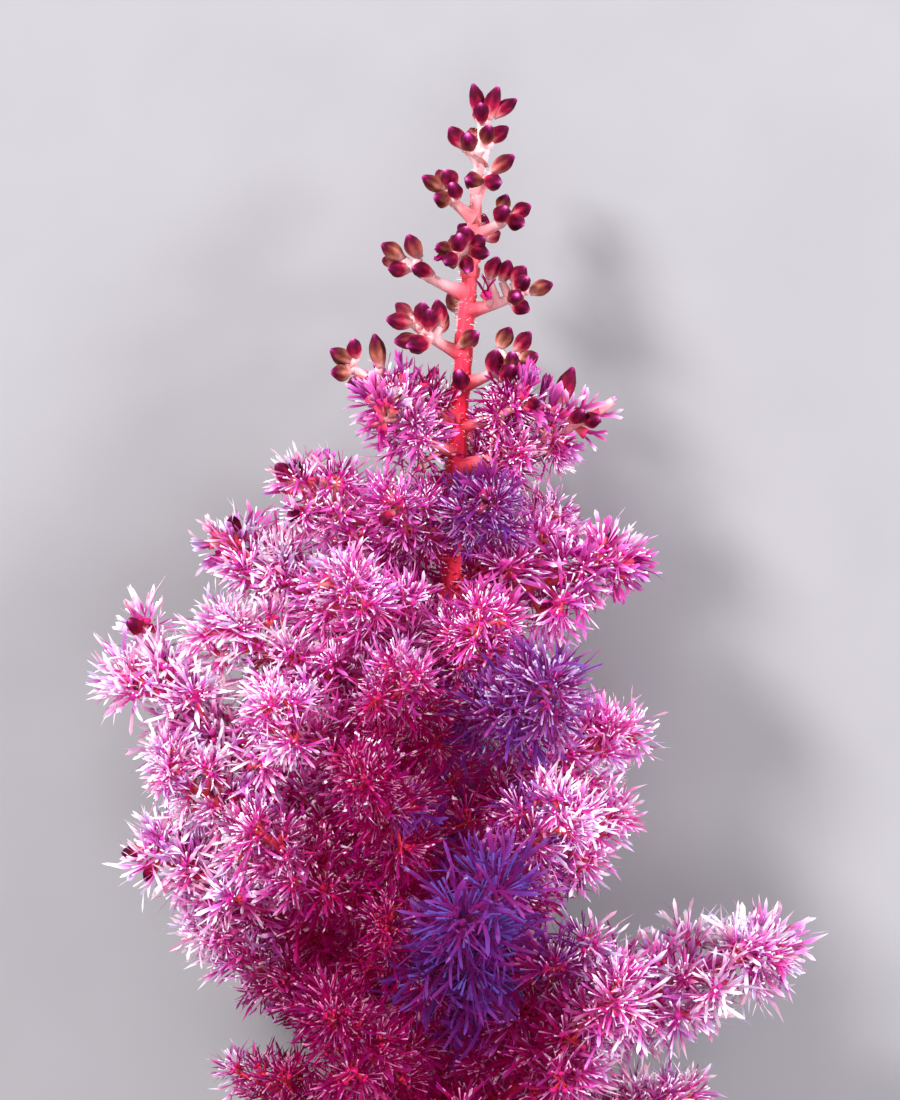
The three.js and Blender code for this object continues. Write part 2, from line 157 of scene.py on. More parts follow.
# Each flowering spray: where it leaves the stalk, its tip, how far its petals reach from its
# branch, the share of its length that is still in bud, any extra dip of its middle, and its
# tint, from -1 for deep crimson to 1 for violet. The tint is painted shade on the spray.
FLOWER_SPRAYS = [
    (37.8, (-10.4, 44.2, 17.6), 3.8, 0.5, 0, 0),
    (37.0, (9.6, 40.4, 21.0), 3.8, 0.3, 0, 0.05),
    (34.4, (-5.8, 39.0, 25.0), 7.4, 0.3, 0, 0.1),
    (32.8, (18.2, 39.8, 16.4), 5.8, 0.7, 0, 0),
    (28.4, (6.2, 29.2, 29.0), 5.6, 0.1, 0, 0.6),
    (26.6, (4.2, 35.8, 6.4), 5.0, 0.2, 0, 0),
    (25.0, (-5.4, 29.6, 27.0), 5.8, 0.05, 0, 0.1),
    (23.4, (-16.6, 32.6, 19.0), 7.0, 0.25, 0, 0),
    (20.6, (12.6, 28.2, 3.2), 5.2, 0.1, 0, 0),
    (19.4, (20.8, 24.4, 18.6), 10.6, 0.25, 0, 0.1),
    (15.4, (-10.4, 27.6, 3.2), 5.2, 0.1, 0, 0),
    (14.8, (-11.0, 20.8, 31.5), 6.6, 0.05, 0, 0.1),
    (13.2, (-22.8, 25.6, 15.6), 7.6, 0.25, 0, 0),
    (9.6, (4.6, 17.8, 33.0), 6.6, 0, 0, -0.4),
    (6.2, (-23.8, 17.0, 22.0), 6.8, 0.05, 0, 0),
    (5.4, (12.0, 11.0, 36.0), 8.0, 0, 0, 0.65),
    (3.4, (-5.0, 11.8, 37.5), 6.6, 0, 0, -0.5),
    (0.8, (-16.8, 9.8, 3.6), 6.2, 0, 0, 0),
    (-1.8, (-17.6, 8.6, 31.5), 7.2, 0, 0, -0.15),
    (-4.4, (16.6, 6.4, 3.2), 6.4, 0, 0, 0.1),
    (-5.4, (19.2, 6.8, 20.5), 6.8, 0, 0, 0),
    (-7.6, (-8.4, 1.8, 39.0), 7.2, 0, 0, -0.8),
    (-9.6, (-33.2, 13.2, 18.0), 9.0, 0.12, 0, 0),
    (-13.0, (13.4, -2.0, 36.0), 7.4, 0, 0, 0.05),
    (-15.4, (-19.2, -4.6, 32.5), 7.6, 0, 0, -0.6),
    (-15.8, (18.6, -2.8, 21.5), 6.6, 0, 0, 0),
    (-15.0, (-29.6, 2.6, 22.5), 6.2, 0, 0, 0),
    (-19.6, (-31.0, -6.4, 18.4), 8.6, 0.05, 0, 0),
    (-23.4, (4.8, -10.6, 40.4), 10.8, 0, 0, 1.0),
    (-26.4, (0.4, 9.6, 1.5), 5.6, 0, -11.5, -0.5),
    (-26.0, (36.8, -16.6, 19.0), 8.6, 0.1, 0, 0.08),
    (-27.4, (-5.6, -13.4, 31.0), 6.4, 0, 0, -0.6),
    (-29.2, (-24.6, -14.6, 17.0), 6.8, 0, 0, 0),
    (-31.4, (14.4, -17.0, 30.0), 7.8, 0, 0, 0.2),
    (-32.4, (-17.0, -17.0, 3.6), 5.8, 0, 0, -0.2),
    (-33.6, (-11.6, -22.4, 39.0), 7.8, 0, 0, -0.35),
    (-35.8, (18.4, -24.6, 3.0), 5.8, 0, 0, -0.6),
    (-37.4, (19.2, -20.2, 33.0), 8.8, 0, 0, -0.3),
    (-40.6, (-20.0, -31.0, 15.0), 6.6, 0, 0, -0.2),
    (-42.2, (24.8, -33.0, 16.0), 7.2, 0, 0, -0.3),
    (-44.6, (1.0, -34.6, 37.5), 7.6, 0, 0, -0.5),
    (-47.2, (2.4, -34.0, 3.4), 5.4, 0, -4, -0.3),
    (-49.6, (-18.4, -44.0, 14.0), 6.6, 0, 0, 0),
    (-51.6, (19.0, -46.0, 14.0), 6.6, 0, 0, 0),
]

# What a face belongs to. Branches and pedicels carry no mark, which reads as nought.
CALYX = 1
PETAL = 2
STAMEN = 3
BUD = 4
MATERIAL_OF_MARK = ("stem", "calyx", "petal", "stamen", "bud")

# How many forms of each kind differ by chance.
VARIANTS = 8

# Camera: it looks straight down on the plume from far away, and its frame is 900 x 1100.
VIEW_CENTRE = (1.05, 24.15)
VIEW_HEIGHT = 115.5
VIEW_DISTANCE = 1000
SENSOR_SIZE = 36


# ---- Node trees -------------------------------------------------------------------------


class Socket:
    """A node's output. Python's operators on it add Math nodes, or Vector Math on vectors."""

    def __init__(self, tree, output):
        self.tree = tree
        self.output = output

    def out(self, name):
        """Another output of the same node."""
        outputs = self.output.node.outputs
        return Socket(self.tree, next(s for s in outputs if s.name == name and s.enabled))

    def part(self, axis):
        """One coordinate of a vector."""
        return self.tree.add("ShaderNodeSeparateXYZ", (self,)).out(axis)

    def __add__(self, other):
        return maths("ADD", self, other)

    __radd__ = __add__

    def __sub__(self, other):
        return maths("SUBTRACT", self, other)

    def __rsub__(self, other):
        return maths("SUBTRACT", other, self)

    def __mul__(self, other):
        return maths("MULTIPLY", self, other)

    __rmul__ = __mul__

    def __truediv__(self, other):
        return maths("DIVIDE", self, other)

    def __pow__(self, other):
        return maths("POWER", self, other)

    def __gt__(self, other):
        return maths("GREATER_THAN", self, other)

    def __lt__(self, other):
        return maths("LESS_THAN", self, other)


def is_vector(value):
    """Whether a socket or a constant is a vector or a colour."""
    if isinstance(value, Socket):
        return value.output.type in ("VECTOR", "RGBA")
    return isinstance(value, (tuple, Vector))


def maths(operation, *values):
    """A Math node of numbers, or a Vector Math node if one of the values is a vector."""
    tree = next(v.tree for v in values if isinstance(v, Socket))
    vectors = [v for v in values if is_vector(v)]
    if not vectors:
        return tree.add("ShaderNodeMath", values, operation=operation)
    if operation == "MULTIPLY" and len(vectors) == 1:
        factor = next(v for v in values if not is_vector(v))
        return tree.add("ShaderNodeVectorMath", (vectors[0], factor), operation="SCALE")
    return tree.add("ShaderNodeVectorMath", values, operation=operation)


class Tree:
    """A node tree, shader or geometry, with one method that adds any node."""

    def __init__(self, tree):
        self.tree = tree

    def add(self, kind, inputs=(), **settings):
        """A new node. Its settings are set first, then its inputs by order or by name.

        An input may be linked to several sockets. A colour is given without its alpha.
        """
        node = self.tree.nodes.new(kind)
        for name, value in settings.items():
            setattr(node, name, value)
        shown = [s for s in node.inputs if s.enabled]
        if isinstance(inputs, dict):
            pairs = [(next(s for s in shown if s.name == key), inputs[key]) for key in inputs]
        else:
            pairs = zip(shown, inputs)
        for socket, value in pairs:
            several = value if isinstance(value, list) else [value]
            for one in several:
                if isinstance(one, Socket):
                    self.tree.links.new(one.output, socket)
                else:
                    socket.default_value = (*one, 1) if socket.type == "RGBA" else one
        outputs = [s for s in node.outputs if s.enabled]
        return Socket(self, outputs[0]) if outputs else node

    def between(self, value, low, high, start=0.0, end=1.0, way="SMOOTHSTEP"):
        """A value that goes from start to end as the given one goes from low to high."""
        values = (value, low, high, start, end)
        return self.add("ShaderNodeMapRange", values, interpolation_type=way)

    def mix(self, factor, first, second, blend="MIX"):
        """A colour between two."""
        values = (factor, first, second)
        return self.add("ShaderNodeMix", values, data_type="RGBA", blend_type=blend)

    def attribute(self, name):
        """A number stored on the mesh, in a shader."""
        return self.add("ShaderNodeAttribute", attribute_name=name).out("Fac")


# ---- Materials --------------------------------------------------------------------------


def material(name, finish):
    """A material whose finish function gives the values of its Principled shader."""
    made = bpy.data.materials.new(name)
    made.use_nodes = True
    made.node_tree.nodes.clear()
    tree = Tree(made.node_tree)
    values = finish(tree)
    glow = values.pop("Through", None)
    shader = tree.add("ShaderNodeBsdfPrincipled", values)
    if glow:
        share, tint = glow
        through = tree.add("ShaderNodeBsdfTranslucent", {"Color": tint})
        shader = tree.add("ShaderNodeMixShader", (share, shader, through))
    tree.add("ShaderNodeOutputMaterial", {"Surface": shader})
    return made


def place(tree):
    """Where a point is, in the frame's own metres."""
    return tree.add("ShaderNodeTexCoord").out("Object")


def noise(tree, vector, scale, detail=2.0):
    """Smooth noise from 0 to 1."""
    values = {"Vector": vector, "Scale": scale, "Detail": detail}
    return tree.add("ShaderNodeTexNoise", values)


def where(tree, axis):
    """One coordinate of a point, in millimetres."""
    return place(tree).part(axis) / MM


def grain_of(tree, scale, detail=2.0):
    """Noise that stays where it is in the frame."""
    return noise(tree, place(tree), scale, detail)


def bump(tree, height, strength, distance):
    """A normal that follows a fine relief."""
    values = {"Height": height, "Strength": strength, "Distance": distance}
    return tree.add("ShaderNodeBump", values)


def ramp(tree, value, *stops):
    """A colour that changes with a value, through the given stops."""
    made = tree.add("ShaderNodeValToRGB", (value,))
    elements = made.output.node.color_ramp.elements
    while len(elements) < len(stops):
        elements.new(1)
    for element, (at, tint) in zip(elements, stops):
        element.position = at
        element.color = (*tint, 1)
    return made


WINE = (0.26, 0.002, 0.05)
CRIMSON = (0.45, 0.006, 0.17)
MAGENTA = (0.69, 0.055, 0.41)
ORCHID = (0.86, 0.27, 0.71)
LILAC = (0.94, 0.62, 0.91)
PALE_LILAC = (1.0, 0.97, 1.0)
PURPLE = (0.12, 0.008, 0.085)
VIOLET = (0.06, 0.017, 0.125)
PALE_VIOLET = (0.072, 0.036, 0.2)
PLUM = (0.075, 0.002, 0.018)
PEACH = (0.45, 0.15, 0.115)
PALE_PINK = (0.72, 0.42, 0.43)
SALMON = (0.62, 0.14, 0.165)
CORAL = (0.62, 0.04, 0.11)
RED = (0.62, 0.014, 0.05)
OLIVE = (0.15, 0.036, 0.022)

# The heart of the plume, where the florets are deep crimson, partly their own colour and partly
# painted shade: its middle line, how far up the plume it reaches, and its half width there and
# at its foot.
HEART_X = -3.5
HEART_TOP = (5.0, 20.0)
HEART_SPAN = (-25.0, 20.0)
HEART_WIDTH = (14.5, 3.5)

# The plume's shaded side, where many florets carry violet painted shade: its middle and its size.
SHADED_AT = (4.0, -10.0)
SHADED_SIZE = (13.0, 20.0)


def heart(tree):
    """How far a point is inside the plume's heart of deep colour and painted shade, from 0 to 1."""
    aside = where(tree, "X") - HEART_X
    lengthwise = where(tree, "Y")
    width = tree.between(lengthwise, *HEART_SPAN, *HEART_WIDTH, "LINEAR")
    within = tree.between(maths("ABSOLUTE", aside) / width, 0.8, 1.7, 1.0, 0.0)
    return within * tree.between(lengthwise, *HEART_TOP, 1.0, 0.0)


def violet_patches(tree):
    """Patches of violet painted shade on the florets of the plume's shaded side, from 0 to 1."""
    aside = (where(tree, "X") - SHADED_AT[0]) / SHADED_SIZE[0]
    lengthwise = (where(tree, "Y") - SHADED_AT[1]) / SHADED_SIZE[1]
    within = tree.between(aside * aside + lengthwise * lengthwise, 0.3, 1.0, 1.0, 0.0)
    return within * tree.between(grain_of(tree, 150.0), 0.48, 0.6)


def petal_finish(tree):
    """Crimson at the foot and lilac at the tip; deeper in the heart and violet where tinted, as
    painted shade.
    """
    along = tree.attribute("along")
    across = tree.attribute("across")
    floret = tree.attribute("floret")
    tint = tree.attribute("tint")
    # The spray's tint and the violet patches are painted shade.
    tint = tint + violet_patches(tree) * (0.85 - tint)
    depth = tree.attribute("depth") / MM
    inner = tree.attribute("inner")
    lengthwise = where(tree, "Y")
    # Higher up the plume the petals are darkened as painted shade, most at their feet, their painted
    # glow is weaker and their tips are paler.
    young_and_upper_shade = tree.between(lengthwise, 12.0, 34.0)
    drift = grain_of(tree, 240.0, 1.0) - 0.5
    # Florets near the stalk, in the heart and of a crimson tint are deep crimson, partly their own
    # colour and partly painted shade.
    core = tree.between(depth + floret * 5.0, 6.0, 13.0, 0.7, 0.0)
    inside = maths("MAXIMUM", core, heart(tree) * tree.between(floret, 0.0, 1.0, 1.0, 0.92))
    inside = maths("MAXIMUM", inside, tint * -1)
    # Petals of inner florets stay deeper as painted shade, and petals far from the stalk grow paler
    # as a painted highlight.
    reach = along * (0.9 - inner * 0.35) + drift * 1.1 + young_and_upper_shade * 0.06
    reach = reach + tree.between(depth, 5.0, 30.0, -0.12, 0.24) - inside * 0.42
    outer_stops = (
        (0.0, CRIMSON),
        (0.22, MAGENTA),
        (0.45, (0.84, 0.15, 0.60)),
        (0.56, ORCHID),
        (0.68, LILAC),
        (0.8, PALE_LILAC),
    )
    outer = ramp(tree, reach, *outer_stops)
    # The heart's petals are dark, as painted shade.
    deep_stops = (
        (0.0, WINE),
        (0.5, (0.19, 0.002, 0.05)),
        (0.85, (0.15, 0.002, 0.068)),
        (1.0, (0.16, 0.006, 0.1)),
    )
    deep = ramp(tree, along, *deep_stops)
    # Dusk is a darker, bluer copy of the petals' colours, and cool a violet one: both are painted
    # shade on tinted sprays.
    dusk_stops = (
        (0.0, WINE),
        (0.35, (0.17, 0.006, 0.09)),
        (0.75, (0.2, 0.022, 0.18)),
        (1.0, (0.38, 0.08, 0.37)),
    )
    dusk = ramp(tree, along, *dusk_stops)
    cool = ramp(tree, along, (0.0, WINE), (0.25, PURPLE), (0.6, VIOLET), (1.0, PALE_VIOLET))
    warmer = tree.between(grain_of(tree, 230.0), 0.45, 0.6, 0.0, 0.6)
    cool = tree.mix(warmer, cool, (0.17, 0.012, 0.12))
    flesh = tree.mix(inside, outer, deep)
    shaded = tree.between(tint + floret * 0.15, 0.0, 0.5, 0.0, 0.9)
    flesh = tree.mix(shaded, flesh, dusk)
    violet = tree.between(tint + floret * 0.6, 0.7, 1.2, 0.0, 0.95)
    flesh = tree.mix(violet, flesh, cool)
    # Pale specks on petal tips in the heart are painted glints.
    speck = tree.between(grain_of(tree, 800.0), 0.6, 0.66) * tree.between(along, 0.5, 0.75)
    speck = speck * tree.between(lengthwise, -18.0, 2.0, 0.3, 1.0)
    flesh = tree.mix(speck * inside * (1 - violet), flesh, PALE_LILAC)
    # Dim is where shade is painted, and there less light passes through the petals. Glow is a painted
    # glow, an emission in place of light scattered through petals: at their feet, in the heart and
    # deep among the florets.
    dim = maths("MAXIMUM", inside, shaded)
    glow = maths("MAXIMUM", 1 - reach * 2, inside * 0.6)
    buried = tree.between(depth, 12.0, 26.0, 0.85, 0.0) * (1 - inside)
    glow = maths("MAXIMUM", glow, buried) * (1 - young_and_upper_shade * 0.2)
    foot = tree.between(along, 0.2, 0.75, 1.0, 0.0) * (1 - inside)
    light = tree.mix(inside, (0.8, 0.0, 0.4), (0.9, 0.0, 0.15))
    light = tree.mix(glow, (0.0, 0.0, 0.0), light)
    # Petal feet and the lower part of the painted shade are darkened further, as painted shade.
    darker = 1 - young_and_upper_shade * 0.12 - foot * (young_and_upper_shade * 0.25 + 0.15)
    darker = darker * (1 - dim * tree.between(lengthwise, -24.0, -6.0, 0.3, 0.0))
    # Petal edges are paler towards the tip as a painted rim highlight, but not in painted shade.
    rim = tree.between(maths("ABSOLUTE", across), 0.6, 1.0, 0.0, 0.35)
    flesh = tree.mix(rim * reach * (1 - dim), flesh, PALE_LILAC)
    # Patches turn crimson or violet as painted light and shade.
    patch = grain_of(tree, 320.0)
    hue_stops = (0.38, (1.0, 0.62, 0.74)), (0.5, (1.0, 1.0, 1.0)), (0.63, (0.78, 0.8, 1.0))
    flesh = tree.mix(1.0, flesh, ramp(tree, patch, *hue_stops), "MULTIPLY")
    shade = tree.between(floret, 0.0, 1.0, 0.8, 1.08, "LINEAR")
    streak = grain_of(tree, 1800.0)
    through = tree.mix(dim, (0.90, 0.16, 0.68), (0.7, 0.02, 0.4))
    return {
        "Base Color": flesh * shade * darker,
        "Roughness": 0.45,
        "Specular IOR Level": 0.0,
        "Normal": bump(tree, streak, 0.25, 0.00004),
        # The emission is the painted glow.
        "Emission Color": tree.mix(violet, light, (0.45, 0.04, 0.68)),
        "Emission Strength": 0.1,
        "Through": (0.5 - 0.3 * reach - 0.32 * dim, through),
    }


def calyx_finish(tree):
    """The cup under the petals: peach-pink at its foot, coral and crimson at its lobes."""
    along = tree.attribute("along")
    floret = tree.attribute("floret")
    base = ramp(tree, along, (0.0, SALMON), (0.3, CORAL), (0.6, CRIMSON), (0.9, MAGENTA))
    warm = ramp(tree, along, (0.0, PALE_PINK), (0.2, PEACH), (0.5, CORAL), (0.9, CRIMSON))
    base = tree.mix(tree.between(floret, 0.7, 0.9), base, warm)
    mottle = grain_of(tree, 1400.0)
    # Darker in the heart and purple where tinted, as painted shade.
    base = tree.mix(heart(tree) * 0.8, base, (0.36, 0.003, 0.04))
    return {
        "Base Color": tree.mix(tree.attribute("tint"), base, PURPLE),
        "Roughness": 0.5,
        "Specular IOR Level": 0.0,
        "Normal": bump(tree, mottle, 0.3, 0.00006),
    }


def stamen_finish(tree):
    """Pink threads with small pale anthers."""
    along = tree.attribute("along")
    threads = ramp(tree, along, (0.0, MAGENTA), (0.6, ORCHID), (0.85, LILAC), (1.0, PALE_LILAC))
    # Darker in the heart and violet where tinted, as painted shade.
    base = tree.mix(heart(tree) * 0.85, threads, (0.28, 0.006, 0.11))
    return {
        "Base Color": tree.mix(tree.attribute("tint"), base, PALE_VIOLET),
        "Roughness": 0.5,
        "Specular IOR Level": 0.0,
    }


def bud_finish(tree):
    """Closed petals of plum with a pale tip, over sepals of peach, olive or crimson."""
    along = tree.attribute("along")
    floret = tree.attribute("floret")
    lengthwise = where(tree, "Y")
    young_and_upper_shade = (0.0, PALE_PINK), (0.18, PEACH), (0.42, OLIVE), (0.6, (0.09, 0.012, 0.02)), (0.72, PLUM)
    ripe = (0.0, PALE_PINK), (0.14, SALMON), (0.32, (0.26, 0.006, 0.035)), (0.56, PLUM)
    ripeness = tree.between(floret + tree.between(lengthwise, 34.0, 44.0, 0.6, 0.0), 0.35, 0.6)
    petals = tree.mix(ripeness, ramp(tree, along, *young_and_upper_shade), ramp(tree, along, *ripe))
    nib = (0.86, (0.11, 0.004, 0.045)), (0.95, (0.26, 0.02, 0.13)), (1.0, (0.55, 0.15, 0.36))
    base = tree.mix(tree.between(along, 0.76, 0.88), petals, ramp(tree, along, *nib))
    grain = grain_of(tree, 1600.0)
    blotch = grain_of(tree, 700.0, 3.0)
    mottled = tree.between(blotch, 0.3, 0.7, 0.45, 1.2, "LINEAR")
    return {
        "Base Color": base * mottled * tree.between(grain, 0.3, 0.7, 0.85, 1.15, "LINEAR"),
        "Roughness": tree.between(grain, 0.3, 0.7, 0.5, 0.7, "LINEAR"),
        "Specular IOR Level": 0.03,
        "Sheen Weight": 0.12,
        "Sheen Roughness": 0.3,
        "Sheen Tint": (1.0, 0.34, 0.5),
        "Normal": bump(tree, grain, 0.35, 0.00006),
    }


def stem_finish(tree):
    """Stalk, branches and pedicels: red low down, coral, then pale pink towards the tip."""
    out = tree.attribute("out") / MM
    lengthwise = where(tree, "Y")
    height = tree.between(lengthwise, CUT_Y, TIP_Y, 0.0, 1.0, "LINEAR")
    stops = (
        (0.0, (0.15, 0.035, 0.02)),
        (0.16, (0.26, 0.02, 0.035)),
        (0.42, RED),
        (0.84, RED),
        (0.9, (0.62, 0.05, 0.085)),
        (0.945, SALMON),
        (0.985, PALE_PINK),
    )
    main = ramp(tree, height, *stops)
    high = tree.between(lengthwise, 20.0, 48.0, 0.1, 0.85)
    paler = tree.between(out, 0.6, 4.0) * high * (1 - heart(tree))
    paler = tree.mix(paler, main, PALE_PINK)
    # Darker in the heart and purple where tinted, as painted shade.
    paler = tree.mix(heart(tree) * 0.6, paler, (0.28, 0.006, 0.035))
    paler = tree.mix(tree.attribute("tint") * 0.9, paler, PURPLE)
    streak = noise(tree, place(tree) * (1.0, 0.12, 1.0), 2600.0, 3.0)
    lit = tree.between(streak, 0.35, 0.65, 0.85, 1.12, "LINEAR")
    return {
        "Base Color": paler * lit,
        "Roughness": 0.5,
        "Specular IOR Level": 0.12,
        "Sheen Weight": 0.06,
        "Sheen Roughness": 0.4,
        "Sheen Tint": (1.0, 0.72, 0.68),
        "Normal": bump(tree, streak, 0.4, 0.00008),
    }


def pith_finish(tree):
    """The cut end: pale fibres, speckled from tan to cream."""
    speckle = grain_of(tree, 3200.0)
    base = ramp(tree, speckle, (0.3, (0.62, 0.40, 0.22)), (0.7, (0.86, 0.74, 0.52)))
    return {"Base Color": base, "Roughness": 0.7, "Normal": bump(tree, speckle, 0.5, 0.0001)}


def hair_finish(tree):
    """Fine hairs, some nearly white and some pink."""
    stops = (0.35, (0.92, 0.62, 0.62)), (0.6, (0.94, 0.88, 0.88))
    base = ramp(tree, grain_of(tree, 900.0), *stops)
    return {"Base Color": base, "Roughness": 0.6}


FINISHES = {
    "stem": stem_finish,
    "pith": pith_finish,
    "calyx": calyx_finish,
    "petal": petal_finish,
    "stamen": stamen_finish,
    "bud": bud_finish,
    "hair": hair_finish,
}
MATERIALS = {name: material(name, finish) for name, finish in FINISHES.items()}


# ---- Florets and buds -------------------------------------------------------------------


# The angle between two faces from which the edge between them stays sharp.
SHARP_FROM = math.radians(100)


class Form:
    """A small closed-skinned mesh that is put together from lofts, in millimetres."""

    def __init__(self):
        self.points = []
        self.faces = []
        self.along = []
        self.across = []
        self.part = []

    def loft(self, rings, alongs, part, across=(0.0,)):
        """A skin over rings of points. A ring of one point closes an end to a tip."""
        starts = []
        for ring, along in zip(rings, alongs):
            starts.append(len(self.points))
            for i, point in enumerate(ring):
                self.points.append(point * MM)
                self.along.append(along if not callable(along) else along(point))
                self.across.append(across[i % len(across)] if len(ring) > 1 else 0.0)
        first = len(self.faces)
        for k in range(len(rings) - 1):
            low, high = rings[k], rings[k + 1]
            sides = max(len(low), len(high))
            for i in range(sides):
                a, b = starts[k] + i % len(low), starts[k] + (i + 1) % len(low)
                c, d = starts[k + 1] + (i + 1) % len(high), starts[k + 1] + i % len(high)
                corners = list(dict.fromkeys((a, b, c, d)))
                self.faces.append(corners)
        for ring, start, turn in ((rings[0], starts[0], -1), (rings[-1], starts[-1], 1)):
            if len(ring) > 1:
                self.faces.append([start + i for i in range(len(ring))][::turn])
        self.part += [part] * (len(self.faces) - first)

    def to_object(self, name, collection):
        """The form as an object in a collection, with its values stored on its mesh."""
        mesh = bpy.data.meshes.new(name)
        mesh.from_pydata(self.points, [], self.faces)
        shell = bmesh.new()
        shell.from_mesh(mesh)
        bmesh.ops.recalc_face_normals(shell, faces=shell.faces)
        for edge in shell.edges:
            edge.smooth = edge.calc_face_angle(0.0) < SHARP_FROM
        shell.to_mesh(mesh)
        shell.free()
        mesh.attributes.new("along", "FLOAT", "POINT").data.foreach_set("value", self.along)
        mesh.attributes.new("across", "FLOAT", "POINT").data.foreach_set("value", self.across)
        mesh.attributes.new("part", "INT", "FACE").data.foreach_set("value", self.part)
        made = bpy.data.objects.new(name, mesh)
        collection.objects.link(made)


def round_turn(sides):
    """Evenly spread angles."""
    return [2 * math.pi * i / sides for i in range(sides)]


# A petal's shape: the shares of its length where its width is given, and those widths. It ends
# in a point.
BLUNT = ((0.0, 0.42, 0.87), (0.0, 0.72, 1.0))
PLAIN = ((0.0, 0.62), (0.0, 1.0))
STRAP = ((0.0, 0.2, 0.45, 0.7, 0.92), (0.0, 0.5, 0.62, 0.7, 0.56))
PETAL_WIDTH = (0.32, 0.6)
PETAL_LENGTH = (3.4, 5.7)
PETAL_THICKNESS = 0.05
PETAL_SWAY = 0.8
PETAL_TWIST = 1.4
OPEN_SPREAD = (0.35, 1.05)
UNEVEN_SPREAD = 0.45
UNEVEN_TURN = 0.3

STAMENS = 4
STAMEN_LENGTH = (1.7, 2.8)
STAMEN_LEAN = (0.1, 0.75)
STAMEN_OUT = 0.3
ANTHER_RADIUS = 0.13

# A floret's cup, and the shares of its radius and its height where a petal leaves it.
CALYX_RADIUS = 0.5
CALYX_HEIGHT = 1.05
CALYX_WIDEST = 0.7
PETAL_FOOT = (0.55, 0.6)


def petal(form, rng, turn, spread, curl, length, twist, broad=1.0, shape=BLUNT, ripe=1.0):
    """A narrow petal, widest near its tip, that leaves the calyx's rim."""
    stations, widths = shape
    out = Vector((math.cos(turn), math.sin(turn), 0))
    side = Vector((-math.sin(turn), math.cos(turn), 0))
    up = Vector((0, 0, 1))
    sway = rng.uniform(-PETAL_SWAY, PETAL_SWAY)
    widest = rng.uniform(*PETAL_WIDTH) * broad
    centre = out * CALYX_RADIUS * PETAL_FOOT[0] + up * CALYX_HEIGHT * PETAL_FOOT[1]
    rings = []
    last = 0.0
    for station, width in zip((*stations, 1.0), (*widths, 0.0)):
        angle = spread + curl * station
        way = (out * math.sin(angle) + up * math.cos(angle) + side * sway * station).normalized()
        centre = centre + way * (station - last) * length
        last = station
        across = Matrix.Rotation(twist * station, 3, way) @ side
        face = across.cross(way)
        half = across * widest * width / 2
        ridge = centre - face * PETAL_THICKNESS
        rings.append([centre + half, centre - half, ridge] if width else [centre])
    places = [station * ripe for station in (*stations, 1.0)]
    form.loft(rings, places, PETAL, (1.0, -1.0, 0.0))


def stamen(form, rng, turn, length):
    """A thread that widens to its anther."""
    lean = rng.uniform(*STAMEN_LEAN)
    out = Vector((math.cos(turn), math.sin(turn), 0))
    foot = out * STAMEN_OUT + Vector((0, 0, CALYX_HEIGHT * CALYX_WIDEST))
    way = out * math.sin(lean) + Vector((0, 0, math.cos(lean)))
    side = way.orthogonal().normalized()
    turned = way.cross(side)
    ways = [side * math.cos(a) + turned * math.sin(a) for a in round_turn(3)]
    anther = [foot + way * length + aside * ANTHER_RADIUS for aside in ways]
    form.loft([[foot], anther], (0.0, 1.0), STAMEN)


def calyx(form):
    """The small cup of a floret, closed over its ovary."""
    radius, height = CALYX_RADIUS, CALYX_HEIGHT * CALYX_WIDEST
    rim = [Vector((radius * math.cos(a), radius * math.sin(a), height)) for a in round_turn(5)]
    form.loft([[Vector()], rim, [Vector((0, 0, CALYX_HEIGHT))]], (0.0, 0.7, 0.9), CALYX)


def open_floret(rng, shapes=(BLUNT, BLUNT, BLUNT, PLAIN, PLAIN), curls=(-1.0, 1.1)):
    """Five spread petals, of the given shapes, and a few stamens over a calyx."""
    form = Form()
    calyx(form)
    start = rng.uniform(0, 2 * math.pi)
    wide = rng.uniform(*OPEN_SPREAD)
    for i, shape in enumerate(rng.sample(shapes, len(shapes))):
        turn = start + 2 * math.pi * (i + rng.uniform(-UNEVEN_TURN, UNEVEN_TURN)) / len(shapes)
        spread = wide + rng.uniform(-UNEVEN_SPREAD, UNEVEN_SPREAD)
        curl = rng.uniform(*curls)
        length = rng.uniform(*PETAL_LENGTH)
        twist = rng.uniform(-PETAL_TWIST, PETAL_TWIST)
        petal(form, rng, turn, spread, curl, length, twist, shape=shape)
    for i in range(STAMENS):
        turn = start + 2 * math.pi * (i + rng.uniform(0.2, 0.8)) / STAMENS
        stamen(form, rng, turn, rng.uniform(*STAMEN_LENGTH))
    return form


def strap_floret(rng):
    """An open floret whose petals curl along their length."""
    return open_floret(rng, (STRAP,) * 5, (-1.1, 1.5))


# A bud's shape: shares of its length, and its width there as a share of its greatest.
BUD_PROFILE = ((0.0, 0.45), (0.2, 0.78), (0.45, 1.0), (0.72, 0.88), (0.9, 0.48))
FINE_PROFILE = (
    *((0.0, 0.45), (0.1, 0.56), (0.24, 0.8), (0.38, 0.95), (0.5, 1.0), (0.6, 0.97)),
    *((0.7, 0.88), (0.79, 0.73), (0.87, 0.54), (0.93, 0.36), (0.97, 0.26)),
)
BUD_LENGTH = 3.4
BUD_RADIUS = 0.92
SEPAL_HEIGHT = 0.6
LOBE_HEIGHT = 0.13
SEPAL_PROUD = 0.07
FOLD = 0.18

# A half-open floret: its length, its cup's greatest radius and its cup's share of the length.
TULIP_LENGTH = 4.6
TULIP_RADIUS = 0.68
TULIP_CUP = 0.7


def sepal_edge(angle):
    """The height of the five sepals' edge round a bud, as a share of the bud's length."""
    return SEPAL_HEIGHT + LOBE_HEIGHT * math.cos(5 * angle)


